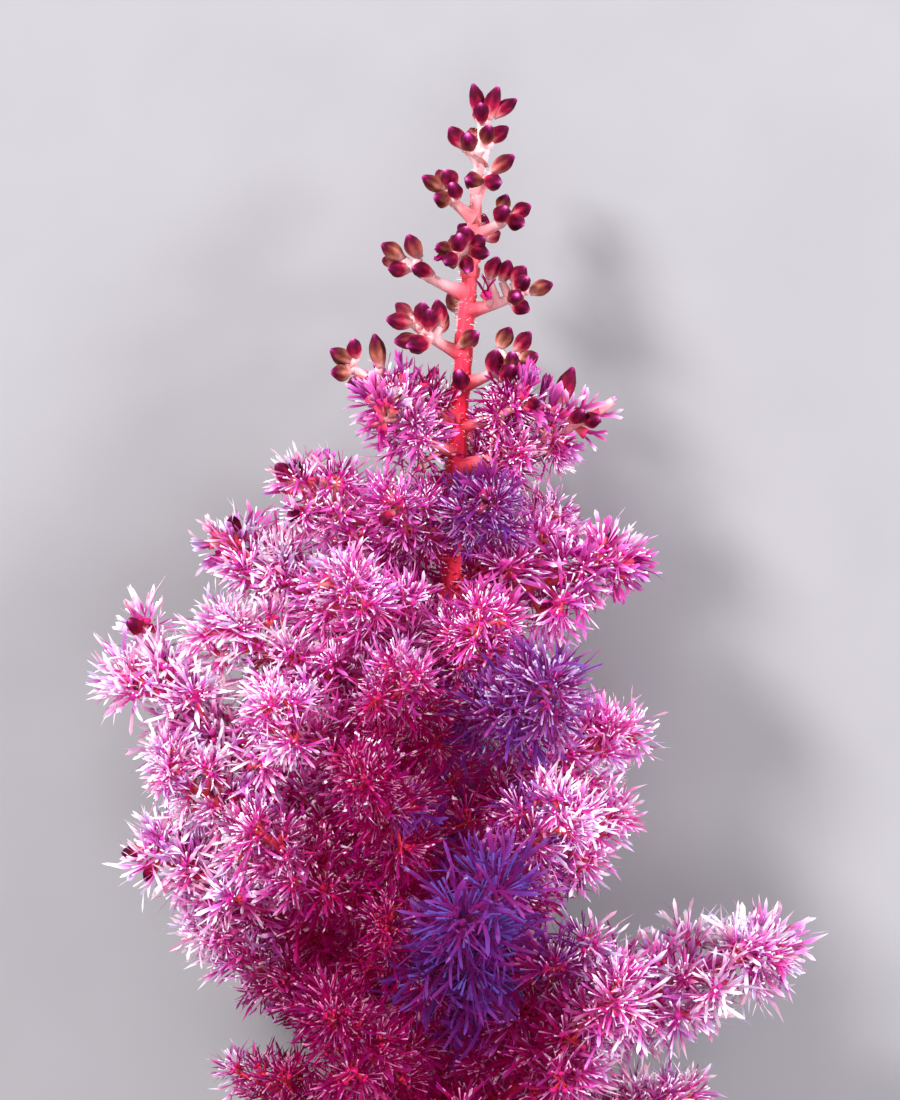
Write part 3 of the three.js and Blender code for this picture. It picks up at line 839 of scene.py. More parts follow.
def bud_skin(form, rng, sides, profile, length, part, closed=True, girth=BUD_RADIUS):
    """An egg-shaped skin with sepals that stand proud, five low folds and a crooked tip."""
    lean = rng.uniform(-0.5, 0.5)
    radius = girth * rng.uniform(0.94, 1.06)

    def along(point):
        share = point.z / length
        edge = sepal_edge(math.atan2(point.y, point.x - lean * share**2))
        return 0.5 * share / edge if share < edge else 0.5 + 0.5 * (share - edge) / (1 - edge)

    rings = []
    for share, width in profile:
        points = []
        for angle in round_turn(sides):
            proud = SEPAL_PROUD if share < sepal_edge(angle) else 0.0
            fold = FOLD * (1 - math.cos(5 * angle)) / 2
            reach = radius * width * (1 + proud - fold)
            sideways = lean * share**2 + reach * math.cos(angle)
            points.append(Vector((sideways, reach * math.sin(angle), length * share)))
        rings.append(points)
    tip_at = (lean, 0, length) if closed else (0, 0, length * profile[-1][0])
    rings.append([Vector(tip_at)])
    form.loft(rings, [along] * len(profile) + [1.0 if closed else 0.5], part)


def half_open_floret(rng):
    """An opening floret: its petals still stand together in a slim tulip."""
    form = Form()
    cup = (6, BUD_PROFILE[:3], TULIP_LENGTH * TULIP_CUP, CALYX)
    bud_skin(form, rng, *cup, closed=False, girth=TULIP_RADIUS)
    start = rng.uniform(0, 2 * math.pi)
    for i in range(5):
        turn = start + 2 * math.pi * (i + rng.uniform(-0.12, 0.12)) / 5
        spread = rng.uniform(0.1, 0.34)
        curl = rng.uniform(-0.6, -0.1)
        length = TULIP_LENGTH * rng.uniform(0.76, 0.9)
        petal(form, rng, turn, spread, curl, length, rng.uniform(-0.3, 0.3), 1.3, ripe=0.74)
    return form


def closed_bud(rng, sides=5, profile=BUD_PROFILE):
    form = Form()
    bud_skin(form, rng, sides, profile, BUD_LENGTH, BUD)
    return form


def fine_bud(rng):
    """A closed bud with more points, for the buds that are seen best."""
    return closed_bud(rng, 20, FINE_PROFILE)


def variants(make, seed):
    """A collection of forms that differ by chance, for the trees to pick from."""
    collection = bpy.data.collections.new(make.__name__)
    for i in range(VARIANTS):
        make(random.Random(seed + i)).to_object(f"{make.__name__}_{i}", collection)
    return collection


# ---- Geometry Nodes ---------------------------------------------------------------------


def geometry_tree(name, inputs):
    """A Geometry Nodes tree with named inputs, and those inputs' sockets."""
    group = bpy.data.node_groups.new(name, "GeometryNodeTree")
    group.is_modifier = True
    for label, kind in inputs.items():
        group.interface.new_socket(label, in_out="INPUT", socket_type=f"NodeSocket{kind}")
    group.interface.new_socket("Geometry", in_out="OUTPUT", socket_type="NodeSocketGeometry")
    tree = Tree(group)
    source = tree.add("NodeGroupInput")
    return tree, {label: source.out(label) for label in inputs}


def made_by(tree, name, values, given=None):
    """The plain mesh object that a tree makes from its inputs' values and any given mesh."""
    given = given or bpy.data.meshes.new(name)
    host = bpy.data.objects.new(name, given)
    bpy.context.scene.collection.objects.link(host)
    modifier = host.modifiers.new("tree", "NODES")
    modifier.node_group = tree.tree
    for item in tree.tree.interface.items_tree:
        if item.in_out == "INPUT" and item.name in values:
            modifier[item.identifier] = values[item.name]
    host.update_tag()
    graph = bpy.context.evaluated_depsgraph_get()
    mesh = bpy.data.meshes.new_from_object(host.evaluated_get(graph))
    bpy.data.objects.remove(host)
    mesh.name = name
    piece = bpy.data.objects.new(name, mesh)
    bpy.context.scene.collection.objects.link(piece)
    return piece


def random_between(tree, low, high, seed, of=None, kind="FLOAT"):
    """A random value for each point, or for each value of the whole number it is of."""
    values = {"Min": low, "Max": high, "Seed": seed}
    if of is not None:
        values["ID"] = of
    return tree.add("FunctionNodeRandomValue", values, data_type=kind)


def stored(tree, geometry, name, value):
    """The geometry with a number stored on its points."""
    values = {"Geometry": geometry, "Name": name, "Value": value}
    return tree.add("GeometryNodeStoreNamedAttribute", values, data_type="FLOAT", domain="POINT")


def named(tree, name, kind="FLOAT"):
    """A value that is stored on a geometry."""
    return tree.add("GeometryNodeInputNamedAttribute", {"Name": name}, data_type=kind)


SPRAY_INPUTS = {
    **dict.fromkeys(("Start", "Middle", "End"), "Vector"),
    **dict.fromkeys(("Clumps", "Florets a clump", "Seed"), "Int"),
    **dict.fromkeys(("First share", "Last share", "Bud share", "Half-open share"), "Float"),
    **dict.fromkeys(("Foot lean", "Tip lean", "Least twig", "Greatest twig"), "Float"),
    **dict.fromkeys(("Branch radius", "Pedicel", "Pedicel radius", "Clear width"), "Float"),
    **dict.fromkeys(("Fan", "Stray", "Floret size", "Bud size", "Tint"), "Float"),
    **dict.fromkeys(("Open florets", "Half-open florets", "Buds"), "Collection"),
}

# How strongly a floret turns towards the plume's tip, and how far a twig or a pedicel reaches
# into what it carries.
TURN_TO_TIP = 0.25
OVERLAP = 0.25


def rods(tree, points, sides, ends, rotation, length, radius, chosen):
    """A rod from each chosen point, along the rotation's Z, as thick at its ends as given."""
    bottom, top = ends
    rod = {"Vertices": sides, "Radius Top": top, "Radius Bottom": bottom, "Depth": 1.0}
    cone = tree.add("GeometryNodeMeshCone", rod, fill_type="NGON")
    values = {
        "Points": points,
        "Selection": chosen,
        "Instance": cone,
        "Rotation": rotation,
        "Scale": tree.add("ShaderNodeCombineXYZ", (radius, radius, length)),
    }
    return tree.add("GeometryNodeInstanceOnPoints", values)


def spun(tree, way, seed):
    """The rotation that turns Z to a way, after a random turn about Z."""
    angle = random_between(tree, 0.0, 2 * math.pi, seed)
    turn = tree.add("FunctionNodeAxisAngleToRotation", ((0, 0, 1), angle))
    values = (facing(tree, way), turn)
    return tree.add("FunctionNodeRotateRotation", values, rotation_space="LOCAL")


def picked(tree, points, kit, chosen, rotation, scale, seed):
    forms = {"Collection": kit, "Separate Children": True, "Reset Children": True}
    values = {
        "Points": points,
        "Selection": chosen,
        "Instance": tree.add("GeometryNodeCollectionInfo", forms),
        "Pick Instance": True,
        "Instance Index": random_between(tree, 0, VARIANTS - 1, seed, kind="INT"),
        "Rotation": rotation,
        "Scale": scale,
    }
    return tree.add("GeometryNodeInstanceOnPoints", values)


def branch_tube(tree, given, taper, flare, reach, last=1.0):
    """A branch's curve and its round skin, which flares where it leaves the stalk."""
    points = {label: given[label] for label in ("Start", "Middle", "End")}
    curve = tree.add("GeometryNodeCurveQuadraticBezier", {"Resolution": 14, **points})
    factor = tree.add("GeometryNodeSplineParameter").out("Factor")
    foot = maths("POWER", 1 - factor, reach) * flare
    profile = tree.add("GeometryNodeCurvePrimitiveCircle", {"Resolution": 8, "Radius": 1.0})
    scale = given["Branch radius"] * (1.1 - factor * taper + foot)
    part = tree.add("GeometryNodeTrimCurve", {"Curve": curve, "End": last})
    tube = {"Curve": part, "Profile Curve": profile, "Scale": scale, "Fill Caps": True}
    return curve, tree.add("GeometryNodeCurveToMesh", tube)


def painted(tree, geometry, name, chosen=True):
    """The geometry with a material on its chosen faces."""
    values = {"Geometry": geometry, "Selection": chosen, "Material": MATERIALS[name]}
    return tree.add("GeometryNodeSetMaterial", values)


def finished(tree, given, parts):
    """All parts of a spray as one mesh with its values and its materials."""
    joined = tree.add("GeometryNodeJoinGeometry", {"Geometry": parts[::-1]})
    whole = tree.add("GeometryNodeRealizeInstances", {"Geometry": joined})
    here = tree.add("GeometryNodeInputPosition")
    whole = stored(tree, whole, "out", maths("DISTANCE", here, given["Start"]))
    stalk = stalk_line(tree, here.part("Y"))
    # The distance from the stalk and the tint steer painted shade and painted highlights in the
    # materials.
    whole = stored(tree, whole, "depth", maths("DISTANCE", here, stalk))
    whole = stored(tree, whole, "tint", given["Tint"])
    whole = pressed(tree, whole)
    whole = tree.add("GeometryNodeSetShadeSmooth", {"Geometry": whole})
    part = named(tree, "part", "INT")
    for mark, name in enumerate(MATERIAL_OF_MARK):
        whole = painted(tree, whole, name, maths("COMPARE", part, mark, 0.1))
    tree.add("NodeGroupOutput", {"Geometry": whole})
    return tree


def facing(tree, way):
    """The rotation that turns Z to the given way."""
    return tree.add("FunctionNodeAlignRotationToVector", {"Vector": way}, axis="Z")


def spray_tree():
    """A branch with twigs in a spiral, each of which ends in a fan of florets or buds."""
    tree, given = geometry_tree("spray", SPRAY_INPUTS)
    seed = given["Seed"]
    curve, branch = branch_tube(tree, given, 0.35, 0.9, 12.0, given["Last share"])

    index = tree.add("GeometryNodeInputIndex")
    clump = maths("FLOOR", index / given["Florets a clump"])
    member = index - clump * given["Florets a clump"]
    share = clump / (given["Clumps"] - 1)
    along = given["First share"] + share * (given["Last share"] - given["First share"])
    values = {"Curves": curve, "Factor": along}
    sampled = tree.add("GeometryNodeSampleCurve", values, mode="FACTOR", data_type="FLOAT")
    position, tangent, normal = (sampled.out(n) for n in ("Position", "Tangent", "Normal"))
    binormal = maths("CROSS_PRODUCT", tangent, normal)
    turn = clump * GOLDEN_ANGLE + random_between(tree, -0.5, 0.5, seed, clump)
    late = share**4
    lean = given["Foot lean"] + (given["Tip lean"] - given["Foot lean"]) * late
    lean = lean + random_between(tree, -0.5, 0.5, seed + 1, clump)
    round_way = normal * maths("COSINE", turn) + binormal * maths("SINE", turn)
    twig_way = tangent * maths("COSINE", lean) + round_way * maths("SINE", lean)
    longest = given["Greatest twig"] * (1.1 - share * 0.35)
    longest = longest * random_between(tree, 0.75, 1.25, seed + 12, clump)
    chance = random_between(tree, 0.0, 1.0, seed + 2, clump)
    twig = given["Least twig"] + (longest - given["Least twig"]) * chance
    hub = position + twig_way * twig

    sideways = maths("CROSS_PRODUCT", tangent, round_way)
    other_way = maths("CROSS_PRODUCT", twig_way, sideways)
    fan = given["Fan"] * random_between(tree, 0.4, 1.25, seed + 3) * (member > 0.5)
    spread = (member + random_between(tree, -0.3, 0.3, seed + 4)) * 2 * math.pi
    spread = spread / (given["Florets a clump"] - 1)
    off_axis = sideways * maths("COSINE", spread) + other_way * maths("SINE", spread)
    aim = twig_way * maths("COSINE", fan) + off_axis * maths("SINE", fan)
    astray = random_between(tree, (-1, -1, -1), (1, 1, 1), seed + 11, kind="FLOAT_VECTOR")
    aim = aim + (0, TURN_TO_TIP, 0) + astray * given["Stray"]
    unit = maths("NORMALIZE", aim)
    rotation = spun(tree, unit, seed + 5)

    count = given["Clumps"] * given["Florets a clump"]
    points = tree.add("GeometryNodePoints", {"Count": count, "Position": position})
    points = stored(tree, points, "floret", random_between(tree, 0.0, 1.0, seed + 6))
    # Florets on short twigs are inner; their petals are given deeper colour as painted shade.
    points = stored(tree, points, "inner", 1 - chance)
    stage = share + random_between(tree, -0.16, 0.0, seed + 7)
    in_bud = stage > 1 - given["Bud share"]
    opening = (stage > 1 - given["Bud share"] - given["Half-open share"]) * (1 - in_bud)
    vary = random_between(tree, 0.84, 1.12, seed + 8)
    size = given["Floret size"] * vary
    bud_size = given["Bud size"] * vary
    pedicel = given["Pedicel"] * random_between(tree, 0.6, 1.4, seed + 9)
    shown = 1 - hides_stalk(tree, hub, given["Clear width"])
    width = given["Pedicel radius"]
    overlap = OVERLAP * MM
    first = shown * (member < 0.5)
    twig_values = (facing(tree, twig_way), twig + overlap, width * 1.5, first)
    parts = [branch, rods(tree, points, 5, (1.35, 1.0), *twig_values)]
    at_hub = tree.add("GeometryNodeSetPosition", {"Geometry": points, "Position": hub})
    parts.append(rods(tree, at_hub, 3, (1.35, 1.0), rotation, pedicel + overlap, width, shown))
    values = {"Geometry": at_hub, "Offset": unit * pedicel}
    ends_at = tree.add("GeometryNodeSetPosition", values)
    kinds = (
        ("Open florets", 1 - in_bud - opening, size),
        ("Half-open florets", opening, bud_size),
        ("Buds", in_bud, bud_size),
    )
    for label, chosen, scale in kinds:
        chosen = chosen * shown
        parts.append(picked(tree, ends_at, given[label], chosen, rotation, scale, seed + 10))
    return finished(tree, given, parts)


# How far a bud's pedicel reaches into its branch.
ROOTED = 0.2

CLUSTER_INPUTS = {
    "Feet": "Geometry",
    **dict.fromkeys(("Start", "Middle", "End"), "Vector"),
    **dict.fromkeys(("Branch radius", "Pedicel radius", "Tint"), "Float"),
    **dict.fromkeys(("Half-open florets", "Fine buds"), "Collection"),
    "Seed": "Int",
}


def cluster_tree():
    """A branch whose buds stand where the given points are, each towards the point's tip.

    The given points have a vector, tip, and a number, opening, which is 1 on opening florets.
    """
    tree, given = geometry_tree("cluster", CLUSTER_INPUTS)
    seed = given["Seed"]
    curve, branch = branch_tube(tree, given, 0.15, 1.3, 5.0)
    line = tree.add("GeometryNodeCurveToMesh", {"Curve": curve})
    near = tree.add("GeometryNodeProximity", {"Geometry": line}, target_element="EDGES")
    here = tree.add("GeometryNodeInputPosition")
    opening = named(tree, "opening")
    way = named(tree, "tip", "FLOAT_VECTOR") - here
    length = maths("LENGTH", way)
    feet = stored(tree, given["Feet"], "floret", random_between(tree, 0.0, 1.0, seed))
    width = random_between(tree, 0.9, 1.06, seed + 1)
    back = facing(tree, near.out("Position") - here)
    to_branch = (back, near.out("Distance") + ROOTED * MM, given["Pedicel radius"], True)
    parts = [branch, rods(tree, feet, 9, (1.0, 1.5), *to_branch)]
    kinds = (
        ("Half-open florets", opening > 0.5, TULIP_LENGTH),
        ("Fine buds", opening < 0.5, BUD_LENGTH),
    )
    for label, chosen, full in kinds:
        scale = tree.add("ShaderNodeCombineXYZ", (width, width, length / (full * MM)))
        rotation = spun(tree, way, seed + 2)
        parts.append(picked(tree, feet, given[label], chosen, rotation, scale, seed + 3))
    return finished(tree, given, parts)


def stalk_line(tree, lengthwise):
    """The stalk's centre at a given y, as nodes: the same rule as stalk_centre."""
    lean = tree.between(lengthwise, LEAN_FROM_Y * MM, TIP_Y * MM, 0.0, 1.0, "LINEAR")
    to_tip = tree.between(lengthwise, HIGHEST_Y * MM, TIP_Y * MM, 0.0, 1.0, "LINEAR")
    to_cut = tree.between(lengthwise, HIGHEST_Y * MM, CUT_Y * MM, 0.0, 1.0, "LINEAR")
    drop = to_tip * to_tip * TIP_DROOP + to_cut * to_cut * (STALK_HEIGHT - CUT_RADIUS)
    across = lean * lean * (TIP_LEAN * MM)
    return tree.add("ShaderNodeCombineXYZ", (across, lengthwise, (STALK_HEIGHT - drop) * MM))


# The upper stalk stays in sight: nothing grows in front of it closer to its line than the
# clear width, which goes from nought at the first of these places to its whole at the second.
CLEAR_FROM_Y = (16.0, 31.0)
CLEAR_WIDTH = 3.3


def hides_stalk(tree, here, width):
    """1 where a point would be in front of the part of the stalk that stays in sight."""
    lengthwise = here.part("Y")
    offset = here - stalk_line(tree, lengthwise)
    aside = offset.part("X")
    clear = tree.between(lengthwise, *(y * MM for y in CLEAR_FROM_Y)) * width
    return (maths("ABSOLUTE", aside) < clear) * (offset.part("Z") > 0.0)


# A point below this height is pushed up, and the lower it is, the more.
PRESS_HEIGHT = 1.2 * MM


def pressed(tree, geometry):
    """What would go through the surface is pressed flat just above it instead."""
    here = tree.add("GeometryNodeInputPosition")
    z = here.part("Z")
    sunk = maths("EXPONENT", z / PRESS_HEIGHT - 1) * PRESS_HEIGHT
    raised = tree.add("ShaderNodeCombineXYZ", (here.part("X"), here.part("Y"), sunk))
    values = {"Geometry": geometry, "Selection": z < PRESS_HEIGHT, "Position": raised}
    return tree.add("GeometryNodeSetPosition", values)


# ---- The plume's lines ------------------------------------------------------------------


def stalk_centre(y):
    """The stalk's centre at a given y, in millimetres."""
    lean = max(0.0, (y - LEAN_FROM_Y) / (TIP_Y - LEAN_FROM_Y))
    far, drop = (CUT_Y, STALK_HEIGHT - CUT_RADIUS) if y < HIGHEST_Y else (TIP_Y, TIP_DROOP)
    z = STALK_HEIGHT - drop * ((y - HIGHEST_Y) / (far - HIGHEST_Y)) ** 2
    return Vector((TIP_LEAN * lean**2, y, z))


CURVE_STEPS = 24


def branch_of(at, tip, dip=0.0):
    """A spray's branch, as the three points of its curve, in millimetres."""
    start = stalk_centre(at)
    end = Vector(tip)
    middle = (start + end) / 2 - Vector((0, SPRAY_BOW * (end - start).length, -dip))
    return start, middle, end


def points_along(start, middle, end):
    """Points on the curve of three given ones."""
    shares = [i / CURVE_STEPS for i in range(CURVE_STEPS + 1)]
    return [start * (1 - t) ** 2 + middle * 2 * t * (1 - t) + end * t * t for t in shares]


def curve_length(start, middle, end):
    points = points_along(start, middle, end)
    return sum((b - a).length for a, b in zip(points, points[1:]))


# Flowering sprays, for florets of full size: how far apart the clumps are and how far short of
# the tip the last one is.
CLUMP_STEP = 0.93
LAST_CLUMP = 3.2
FLORETS_A_CLUMP = 8
FEWEST_CLUMPS = 4

# A spray whose tip is lower than this lies on the surface and has this share of the clumps.
LOW_TIP = 5.0
LOW_FULLNESS = 0.7

# A spray's longest twig ends this far inside its reach, less the extra, as florets lean over.
FLORET_LENGTH = 5.0
TWIG_EXTRA = 0.7
LEAST_LONG_TWIG = 0.8

# The shares of a spray's budding end with closed buds and with florets that are opening.
BUD_SHARE = 0.08
HALF_OPEN_SHARE = 0.5

# The least and the greatest size of florets, and the reach that gives them their full length.
FLORET_SIZES = (0.63, 0.95)
FULL_REACH = 9.3
STRAP_REACH = 8.0
DEEP_SIZE = 0.9

# How far florets stray from their aim: in most sprays, in those tinted deep crimson as painted
# shade, and in those with long petals.
STRAY = 1.25
DEEP_STRAY = 1.7
STRAP_STRAY = 0.7

# The inputs that are the same for all flowering sprays, and for all clusters of buds.
FLOWER_VALUES = {
    "Branch radius": 0.55 * MM,
    "Florets a clump": FLORETS_A_CLUMP,
    "First share": 0.08,
    "Foot lean": 1.3,
    "Tip lean": 0.5,
    "Least twig": 0.4 * MM,
    "Pedicel": 0.7 * MM,
    "Pedicel radius": 0.16 * MM,
    "Fan": 1.0,
    "Bud size": 0.84,
}
CLUSTER_VALUES = {"Branch radius": 0.5 * MM, "Pedicel radius": 0.38 * MM, "Tint": 0.0}
END_RADIUS = 0.52 * MM

# A bud whose tip is this much higher than its foot points to the front. Another stands behind
# it, and this is how high that one's tip is, as a share of the first one's.
TO_THE_FRONT = 1.4
TO_THE_BACK = -0.8

# Each kit of forms: its label, what makes one form, and its first seed.
KITS = (
    ("Open florets", open_floret, 100),
    ("Strap florets", strap_floret, 150),
    ("Half-open florets", half_open_floret, 200),
    ("Buds", closed_bud, 300),
    ("Fine buds", fine_bud, 400),
)

# The seeds of neighbouring sprays are a step apart. The flowering sprays' seeds and those of
# the bud clusters at their ends start further on.
SEED_STEP = 20
FLOWER_SEEDS = 300
END_SEEDS = 2000


def spray_values(at, tip, dip, seed, kits):
    """The inputs that every kind of spray has."""
    start, middle, end = (point * MM for point in branch_of(at, tip, dip))
    return {"Start": start, "Middle": middle, "End": end, "Seed": seed, **kits}


def flower_values(number, spray, seed, kits):
    """The inputs of a flowering spray, by its number and its row in the table."""
    at, tip, reach, buds, dip, tint = spray
    least, greatest = FLORET_SIZES
    size = min(greatest, max(least, reach / FULL_REACH))
    stray = STRAY
    clear = CLEAR_WIDTH * MM
    if number in STRAP_SPRAYS:
        kits = {**kits, "Open florets": kits["Strap florets"]}
        size = reach / STRAP_REACH
        stray = STRAP_STRAY
        clear = 0.0
    if tint < 0:
        size *= DEEP_SIZE
        stray = DEEP_STRAY
    longest = reach - FLORET_LENGTH * size + TWIG_EXTRA
    length = curve_length(*branch_of(at, tip, dip))
    last = 1 - LAST_CLUMP * size / length
    fullness = LOW_FULLNESS if tip[2] < LOW_TIP else 1.0
    if number in SPRAY_ENDS:
        last = SPRAY_ENDS[number][0]
        buds = 0.0
    return {
        **FLOWER_VALUES,
        **spray_values(at, tip, dip, seed, kits),
        "Clumps": max(FEWEST_CLUMPS, round(length * last * fullness / (CLUMP_STEP * size))),
        "Last share": last,
        "Bud share": buds * BUD_SHARE,
        "Half-open share": buds * HALF_OPEN_SHARE,
        "Greatest twig": max(LEAST_LONG_TWIG, longest) * MM,
        "Stray": stray,
        "Clear width": clear,
        "Floret size": size,
        "Tint": tint,
    }


def height_on(branch, x, y):
    """The height of a branch's line where it passes nearest to a place seen from above."""
    line = points_along(*branch)
    return min(line, key=lambda point: (point.x - x) ** 2 + (point.y - y) ** 2).z


def feet_of(branch, buds, opening):
    """A mesh with a point at each bud's foot, which holds the place of its tip.

    A bud that points towards the front has another behind it on the far side of the branch.
    """
    rows = [(*bud, 0.0) for bud in buds] + [(*bud, 1.0) for bud in opening]
    front = [row for row in rows if row[4] > TO_THE_FRONT]
    rows += [(*row[:4], TO_THE_BACK * row[4], row[5]) for row in front]
    feet = []
    tips = []
    for x, y, tip_x, tip_y, lift, _ in rows:
        height = height_on(branch, x, y) + lift / 2
        feet.append(Vector((x, y, height)) * MM)
        tips += [tip_x * MM, tip_y * MM, (height + lift) * MM]
    mesh = bpy.data.meshes.new("feet")
    mesh.from_pydata(feet, [], [])
    mesh.attributes.new("tip", "FLOAT_VECTOR", "POINT").data.foreach_set("vector", tips)
    openings = [row[5] for row in rows]
    mesh.attributes.new("opening", "FLOAT", "POINT").data.foreach_set("value", openings)
    return mesh


def piece_of_plume(piece, node):
    """A piece that rides with the plume and takes a node's place, if it has one."""
    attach(piece, "root")
    if node:
        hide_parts(node)


def dress_sprays():
    """Every spray's node is replaced by its branch with all its florets."""
    kits = {label: variants(make, seed) for label, make, seed in KITS}
    cluster = cluster_tree()
    for i, (at, tip, buds, opening) in enumerate(BUD_SPRAYS):
        values = {**CLUSTER_VALUES, **spray_values(at, tip, 0.0, SEED_STEP * i, kits)}
        feet = feet_of(branch_of(at, tip), buds, opening)
        piece = made_by(cluster, f"buds_{i + 1:02d}", values, feet)
        piece_of_plume(piece, f"bud_spray_{i + 1:02d}")
    for number, (_, buds, opening) in SPRAY_ENDS.items():
        at, tip = FLOWER_SPRAYS[number - 1][:2]
        seed = END_SEEDS + SEED_STEP * number
        values = {**CLUSTER_VALUES, **spray_values(at, tip, 0.0, seed, kits)}
        values["Branch radius"] = END_RADIUS
        feet = feet_of(branch_of(at, tip), buds, opening)
        piece_of_plume(made_by(cluster, f"end_buds_{number:02d}", values, feet), None)
    tree = spray_tree()
    for i, spray in enumerate(FLOWER_SPRAYS):
        values = flower_values(i + 1, spray, FLOWER_SEEDS + SEED_STEP * i, kits)
        piece = made_by(tree, f"florets_{i + 1:02d}", values)
        piece_of_plume(piece, f"flower_spray_{i + 1:02d}")
    for kit in kits.values():
        for made in list(kit.objects):
            bpy.data.objects.remove(made)
        bpy.data.collections.remove(kit)


# ---- Stalk ------------------------------------------------------------------------------


STALK_STEPS = 160
STALK_TIP_Y = 69.6
STALK_SEED = 7
RIBS = 6
RIB_HEIGHT = 0.045

# How many times as thick the stalk is at a branch's foot, and the distances from the foot over
# which that fades.
SWELLING = 1.22
SWELLING_REACH = (0.3 * MM, 2.4 * MM)

# How many times as thick as its taper gives the stalk is at its tip, and from where on.
CLOSING = 0.72
CLOSING_FROM_Y = 52.0

HAIRS_PER_MM2 = 2.6
HAIR_RADIUS = 0.03
HAIR_LENGTH = 0.75
HAIR_LEAN = 0.6
HAIR_SIZES = (0.5, 1.2)


def stalk_tree():
    """A ribbed stalk along its line, thicker where a branch leaves it, with fine hairs.

    The geometry that the tree is given has a point at each branch's foot.
    """
    inputs = {"Geometry": "Geometry", "Ribs": "Int", "Hairs per area": "Float", "Seed": "Int"}
    tree, given = geometry_tree("stalk", inputs)
    ends = {"Start": (0, CUT_Y * MM, 0), "End": (0, STALK_TIP_Y * MM, 0)}
    straight = tree.add("GeometryNodeCurvePrimitiveLine", ends)
    values = {"Curve": straight, "Count": STALK_STEPS}
    line = tree.add("GeometryNodeResampleCurve", values, mode="COUNT")
    here = tree.add("GeometryNodeInputPosition")
    lengthwise = here.part("Y")
    values = {"Geometry": line, "Position": stalk_line(tree, lengthwise)}
    line = tree.add("GeometryNodeSetPosition", values)
    ends = (CUT_Y * MM, TIP_Y * MM, CUT_RADIUS * MM, TIP_RADIUS * MM)
    taper = tree.between(lengthwise, *ends, "LINEAR")
    feet = {"Geometry": given["Geometry"]}
    foot = tree.add("GeometryNodeProximity", feet, target_element="POINTS")
    swelling = tree.between(foot.out("Distance"), *SWELLING_REACH, SWELLING, 1.0)
    unevenness = tree.between(noise(tree, here, 180.0), 0.3, 0.7, 0.94, 1.06, "LINEAR")
    closing = tree.between(lengthwise, CLOSING_FROM_Y * MM, STALK_TIP_Y * MM, 1.0, CLOSING)
    circle = tree.add("GeometryNodeCurvePrimitiveCircle", {"Resolution": 24, "Radius": 1.0})
    angle = tree.add("GeometryNodeSplineParameter").out("Factor") * (2 * math.pi) * given["Ribs"]
    ribbed = here * (1 + maths("SINE", angle) * RIB_HEIGHT)
    profile = tree.add("GeometryNodeSetPosition", {"Geometry": circle, "Position": ribbed})
    radius = taper * swelling * unevenness * closing
    tube = {"Curve": line, "Profile Curve": profile, "Scale": radius, "Fill Caps": True}
    stalk = tree.add("GeometryNodeCurveToMesh", tube)

    spread = {"Mesh": stalk, "Density": given["Hairs per area"], "Seed": given["Seed"]}
    rooted = tree.add("GeometryNodeDistributePointsOnFaces", spread)
    blade = {"Vertices": 3, "Radius Top": 0.0, "Radius Bottom": HAIR_RADIUS * MM}
    blade["Depth"] = HAIR_LENGTH * MM
    hair = tree.add("GeometryNodeMeshCone", blade, fill_type="TRIANGLE_FAN")
    low, high = (-HAIR_LEAN, -HAIR_LEAN, 0.0), (HAIR_LEAN, HAIR_LEAN, 6.28)
    tilt = random_between(tree, low, high, given["Seed"] + 1, kind="FLOAT_VECTOR")
    bent = tree.add("FunctionNodeEulerToRotation", (tilt,))
    values = (rooted.out("Rotation"), bent)
    turned = tree.add("FunctionNodeRotateRotation", values, rotation_space="LOCAL")
    values = {
        "Points": rooted,
        "Instance": hair,
        "Rotation": turned,
        "Scale": random_between(tree, *HAIR_SIZES, given["Seed"] + 2),
    }
    hairs = tree.add("GeometryNodeInstanceOnPoints", values)
    hairs = tree.add("GeometryNodeRealizeInstances", {"Geometry": hairs})
    hairs = stored(tree, hairs, "hair", 1.0)
    stalk = tree.add("GeometryNodeSetShadeSmooth", {"Geometry": stalk})
    whole = tree.add("GeometryNodeJoinGeometry", {"Geometry": [hairs, stalk]})
    whole = pressed(tree, tree.add("GeometryNodeRealizeInstances", {"Geometry": whole}))
    on_hair = named(tree, "hair") > 0.5
    cut_end = tree.add("GeometryNodeInputNormal").part("Y") < -0.9
    whole = painted(tree, whole, "stem")
    whole = painted(tree, whole, "pith", cut_end)
    whole = painted(tree, whole, "hair", on_hair)
    tree.add("NodeGroupOutput", {"Geometry": whole})
    return tree


def dress_stalk():
    """The stalk's node is replaced by a ribbed stalk with hairs."""
    feet = bpy.data.meshes.new("branch_feet")
    places = [stalk_centre(spray[0]) * MM for spray in BUD_SPRAYS + FLOWER_SPRAYS]
    feet.from_pydata(places, [], [])
    values = {"Ribs": RIBS, "Hairs per area": HAIRS_PER_MM2 / MM**2, "Seed": STALK_SEED}
    piece_of_plume(made_by(stalk_tree(), "plume_stalk", values, feet), "stalk")


# ---- Stage ------------------------------------------------------------------------------


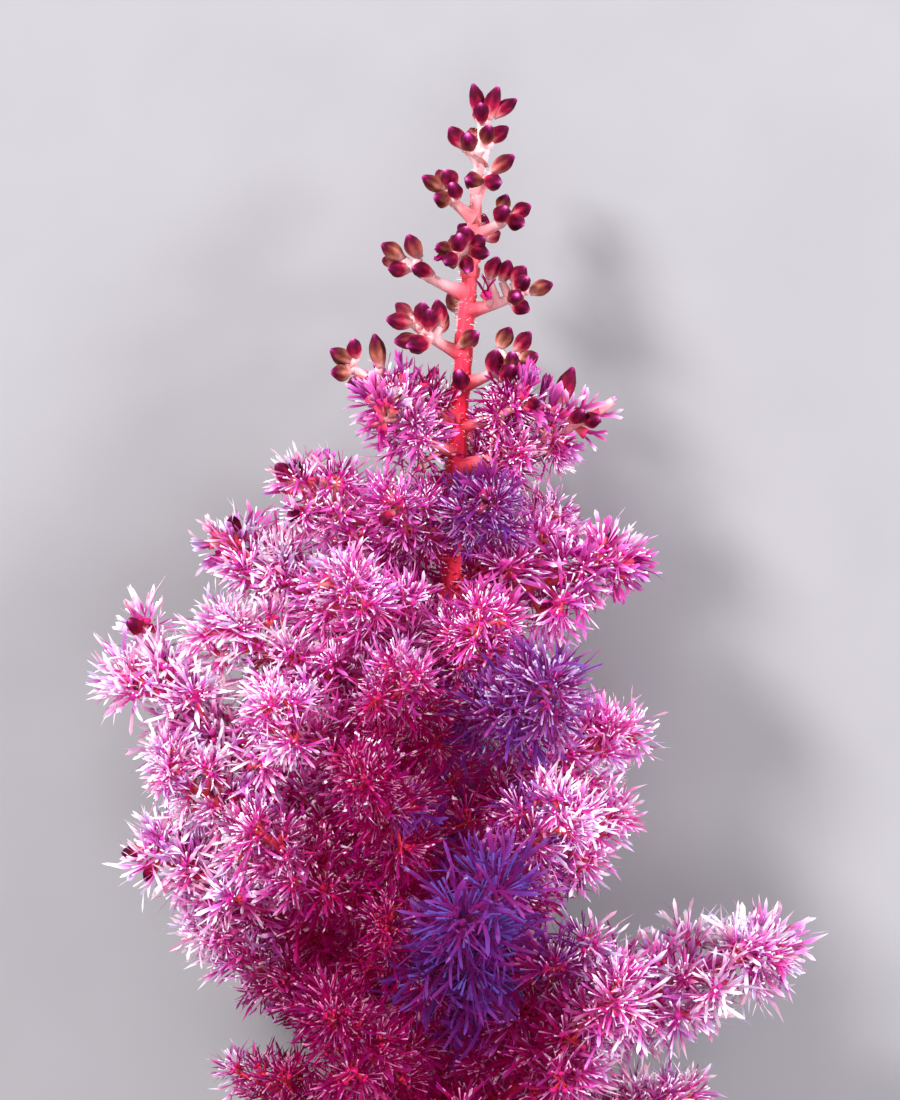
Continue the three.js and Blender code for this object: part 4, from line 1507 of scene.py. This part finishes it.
# Each lamp: its name, its place in metres, its width, its power in watts and its colour.
LAMPS = (
    ("key", (-0.9, 1.0, 0.95), 0.4, 55.0, (1.0, 0.98, 0.98)),
    ("rim", (1.1, 0.5, 0.6), 0.4, 27.0, (0.97, 0.96, 1.0)),
    ("fill", (0.1, -0.5, 1.5), 0.8, 8.0, (0.97, 0.96, 1.0)),
)
LAMPS_AIM_AT = (0, 0.01, 0.015)
WORLD_COLOUR = (1.0, 0.91, 0.98)
WORLD_STRENGTH = 0.85
FLOOR_HALF_WIDTH = 6.0


def lamp(name, place_at, size, power, tint):
    data = bpy.data.lights.new(name, "AREA")
    data.shape = "DISK"
    data.size = size
    data.energy = power
    data.color = tint
    made = bpy.data.objects.new(name, data)
    made.location = place_at
    made.visible_camera = False
    bpy.context.scene.collection.objects.link(made)
    way = Vector(LAMPS_AIM_AT) - made.location
    made.rotation_euler = way.to_track_quat("-Z", "Y").to_euler()


def floor_finish(tree):
    grain = grain_of(tree, 60.0)
    shade = tree.between(grain, 0.3, 0.7, 0.97, 1.03, "LINEAR")
    base = tree.mix(1.0, (0.22, 0.22, 0.23), shade, "MULTIPLY")
    return {"Base Color": base, "Roughness": 0.8}


def stage():
    """A plain pale floor, soft lamps and the camera."""
    mesh = bpy.data.meshes.new("floor")
    half = FLOOR_HALF_WIDTH
    corners = [(-half, -half, 0), (half, -half, 0), (half, half, 0), (-half, half, 0)]
    mesh.from_pydata(corners, [], [(0, 1, 2, 3)])
    mesh.materials.append(material("floor", floor_finish))
    floor = bpy.data.objects.new("floor", mesh)
    bpy.context.scene.collection.objects.link(floor)

    for values in LAMPS:
        lamp(*values)

    world = bpy.data.worlds.new("studio")
    world.use_nodes = True
    background = world.node_tree.nodes["Background"]
    background.inputs["Color"].default_value = (*WORLD_COLOUR, 1)
    background.inputs["Strength"].default_value = WORLD_STRENGTH
    scene = bpy.context.scene
    scene.world = world
    scene.view_settings.view_transform = "Standard"

    lens = bpy.data.cameras.new("camera")
    lens.sensor_fit = "AUTO"
    lens.sensor_width = SENSOR_SIZE
    lens.lens = SENSOR_SIZE * VIEW_DISTANCE / VIEW_HEIGHT
    lens.clip_start = 0.01
    lens.clip_end = 20
    camera = bpy.data.objects.new("camera", lens)
    camera.location = (*(v * MM for v in VIEW_CENTRE), (STALK_HEIGHT + VIEW_DISTANCE) * MM)
    scene.collection.objects.link(camera)
    scene.camera = camera


stage()
dress_sprays()
dress_stalk()
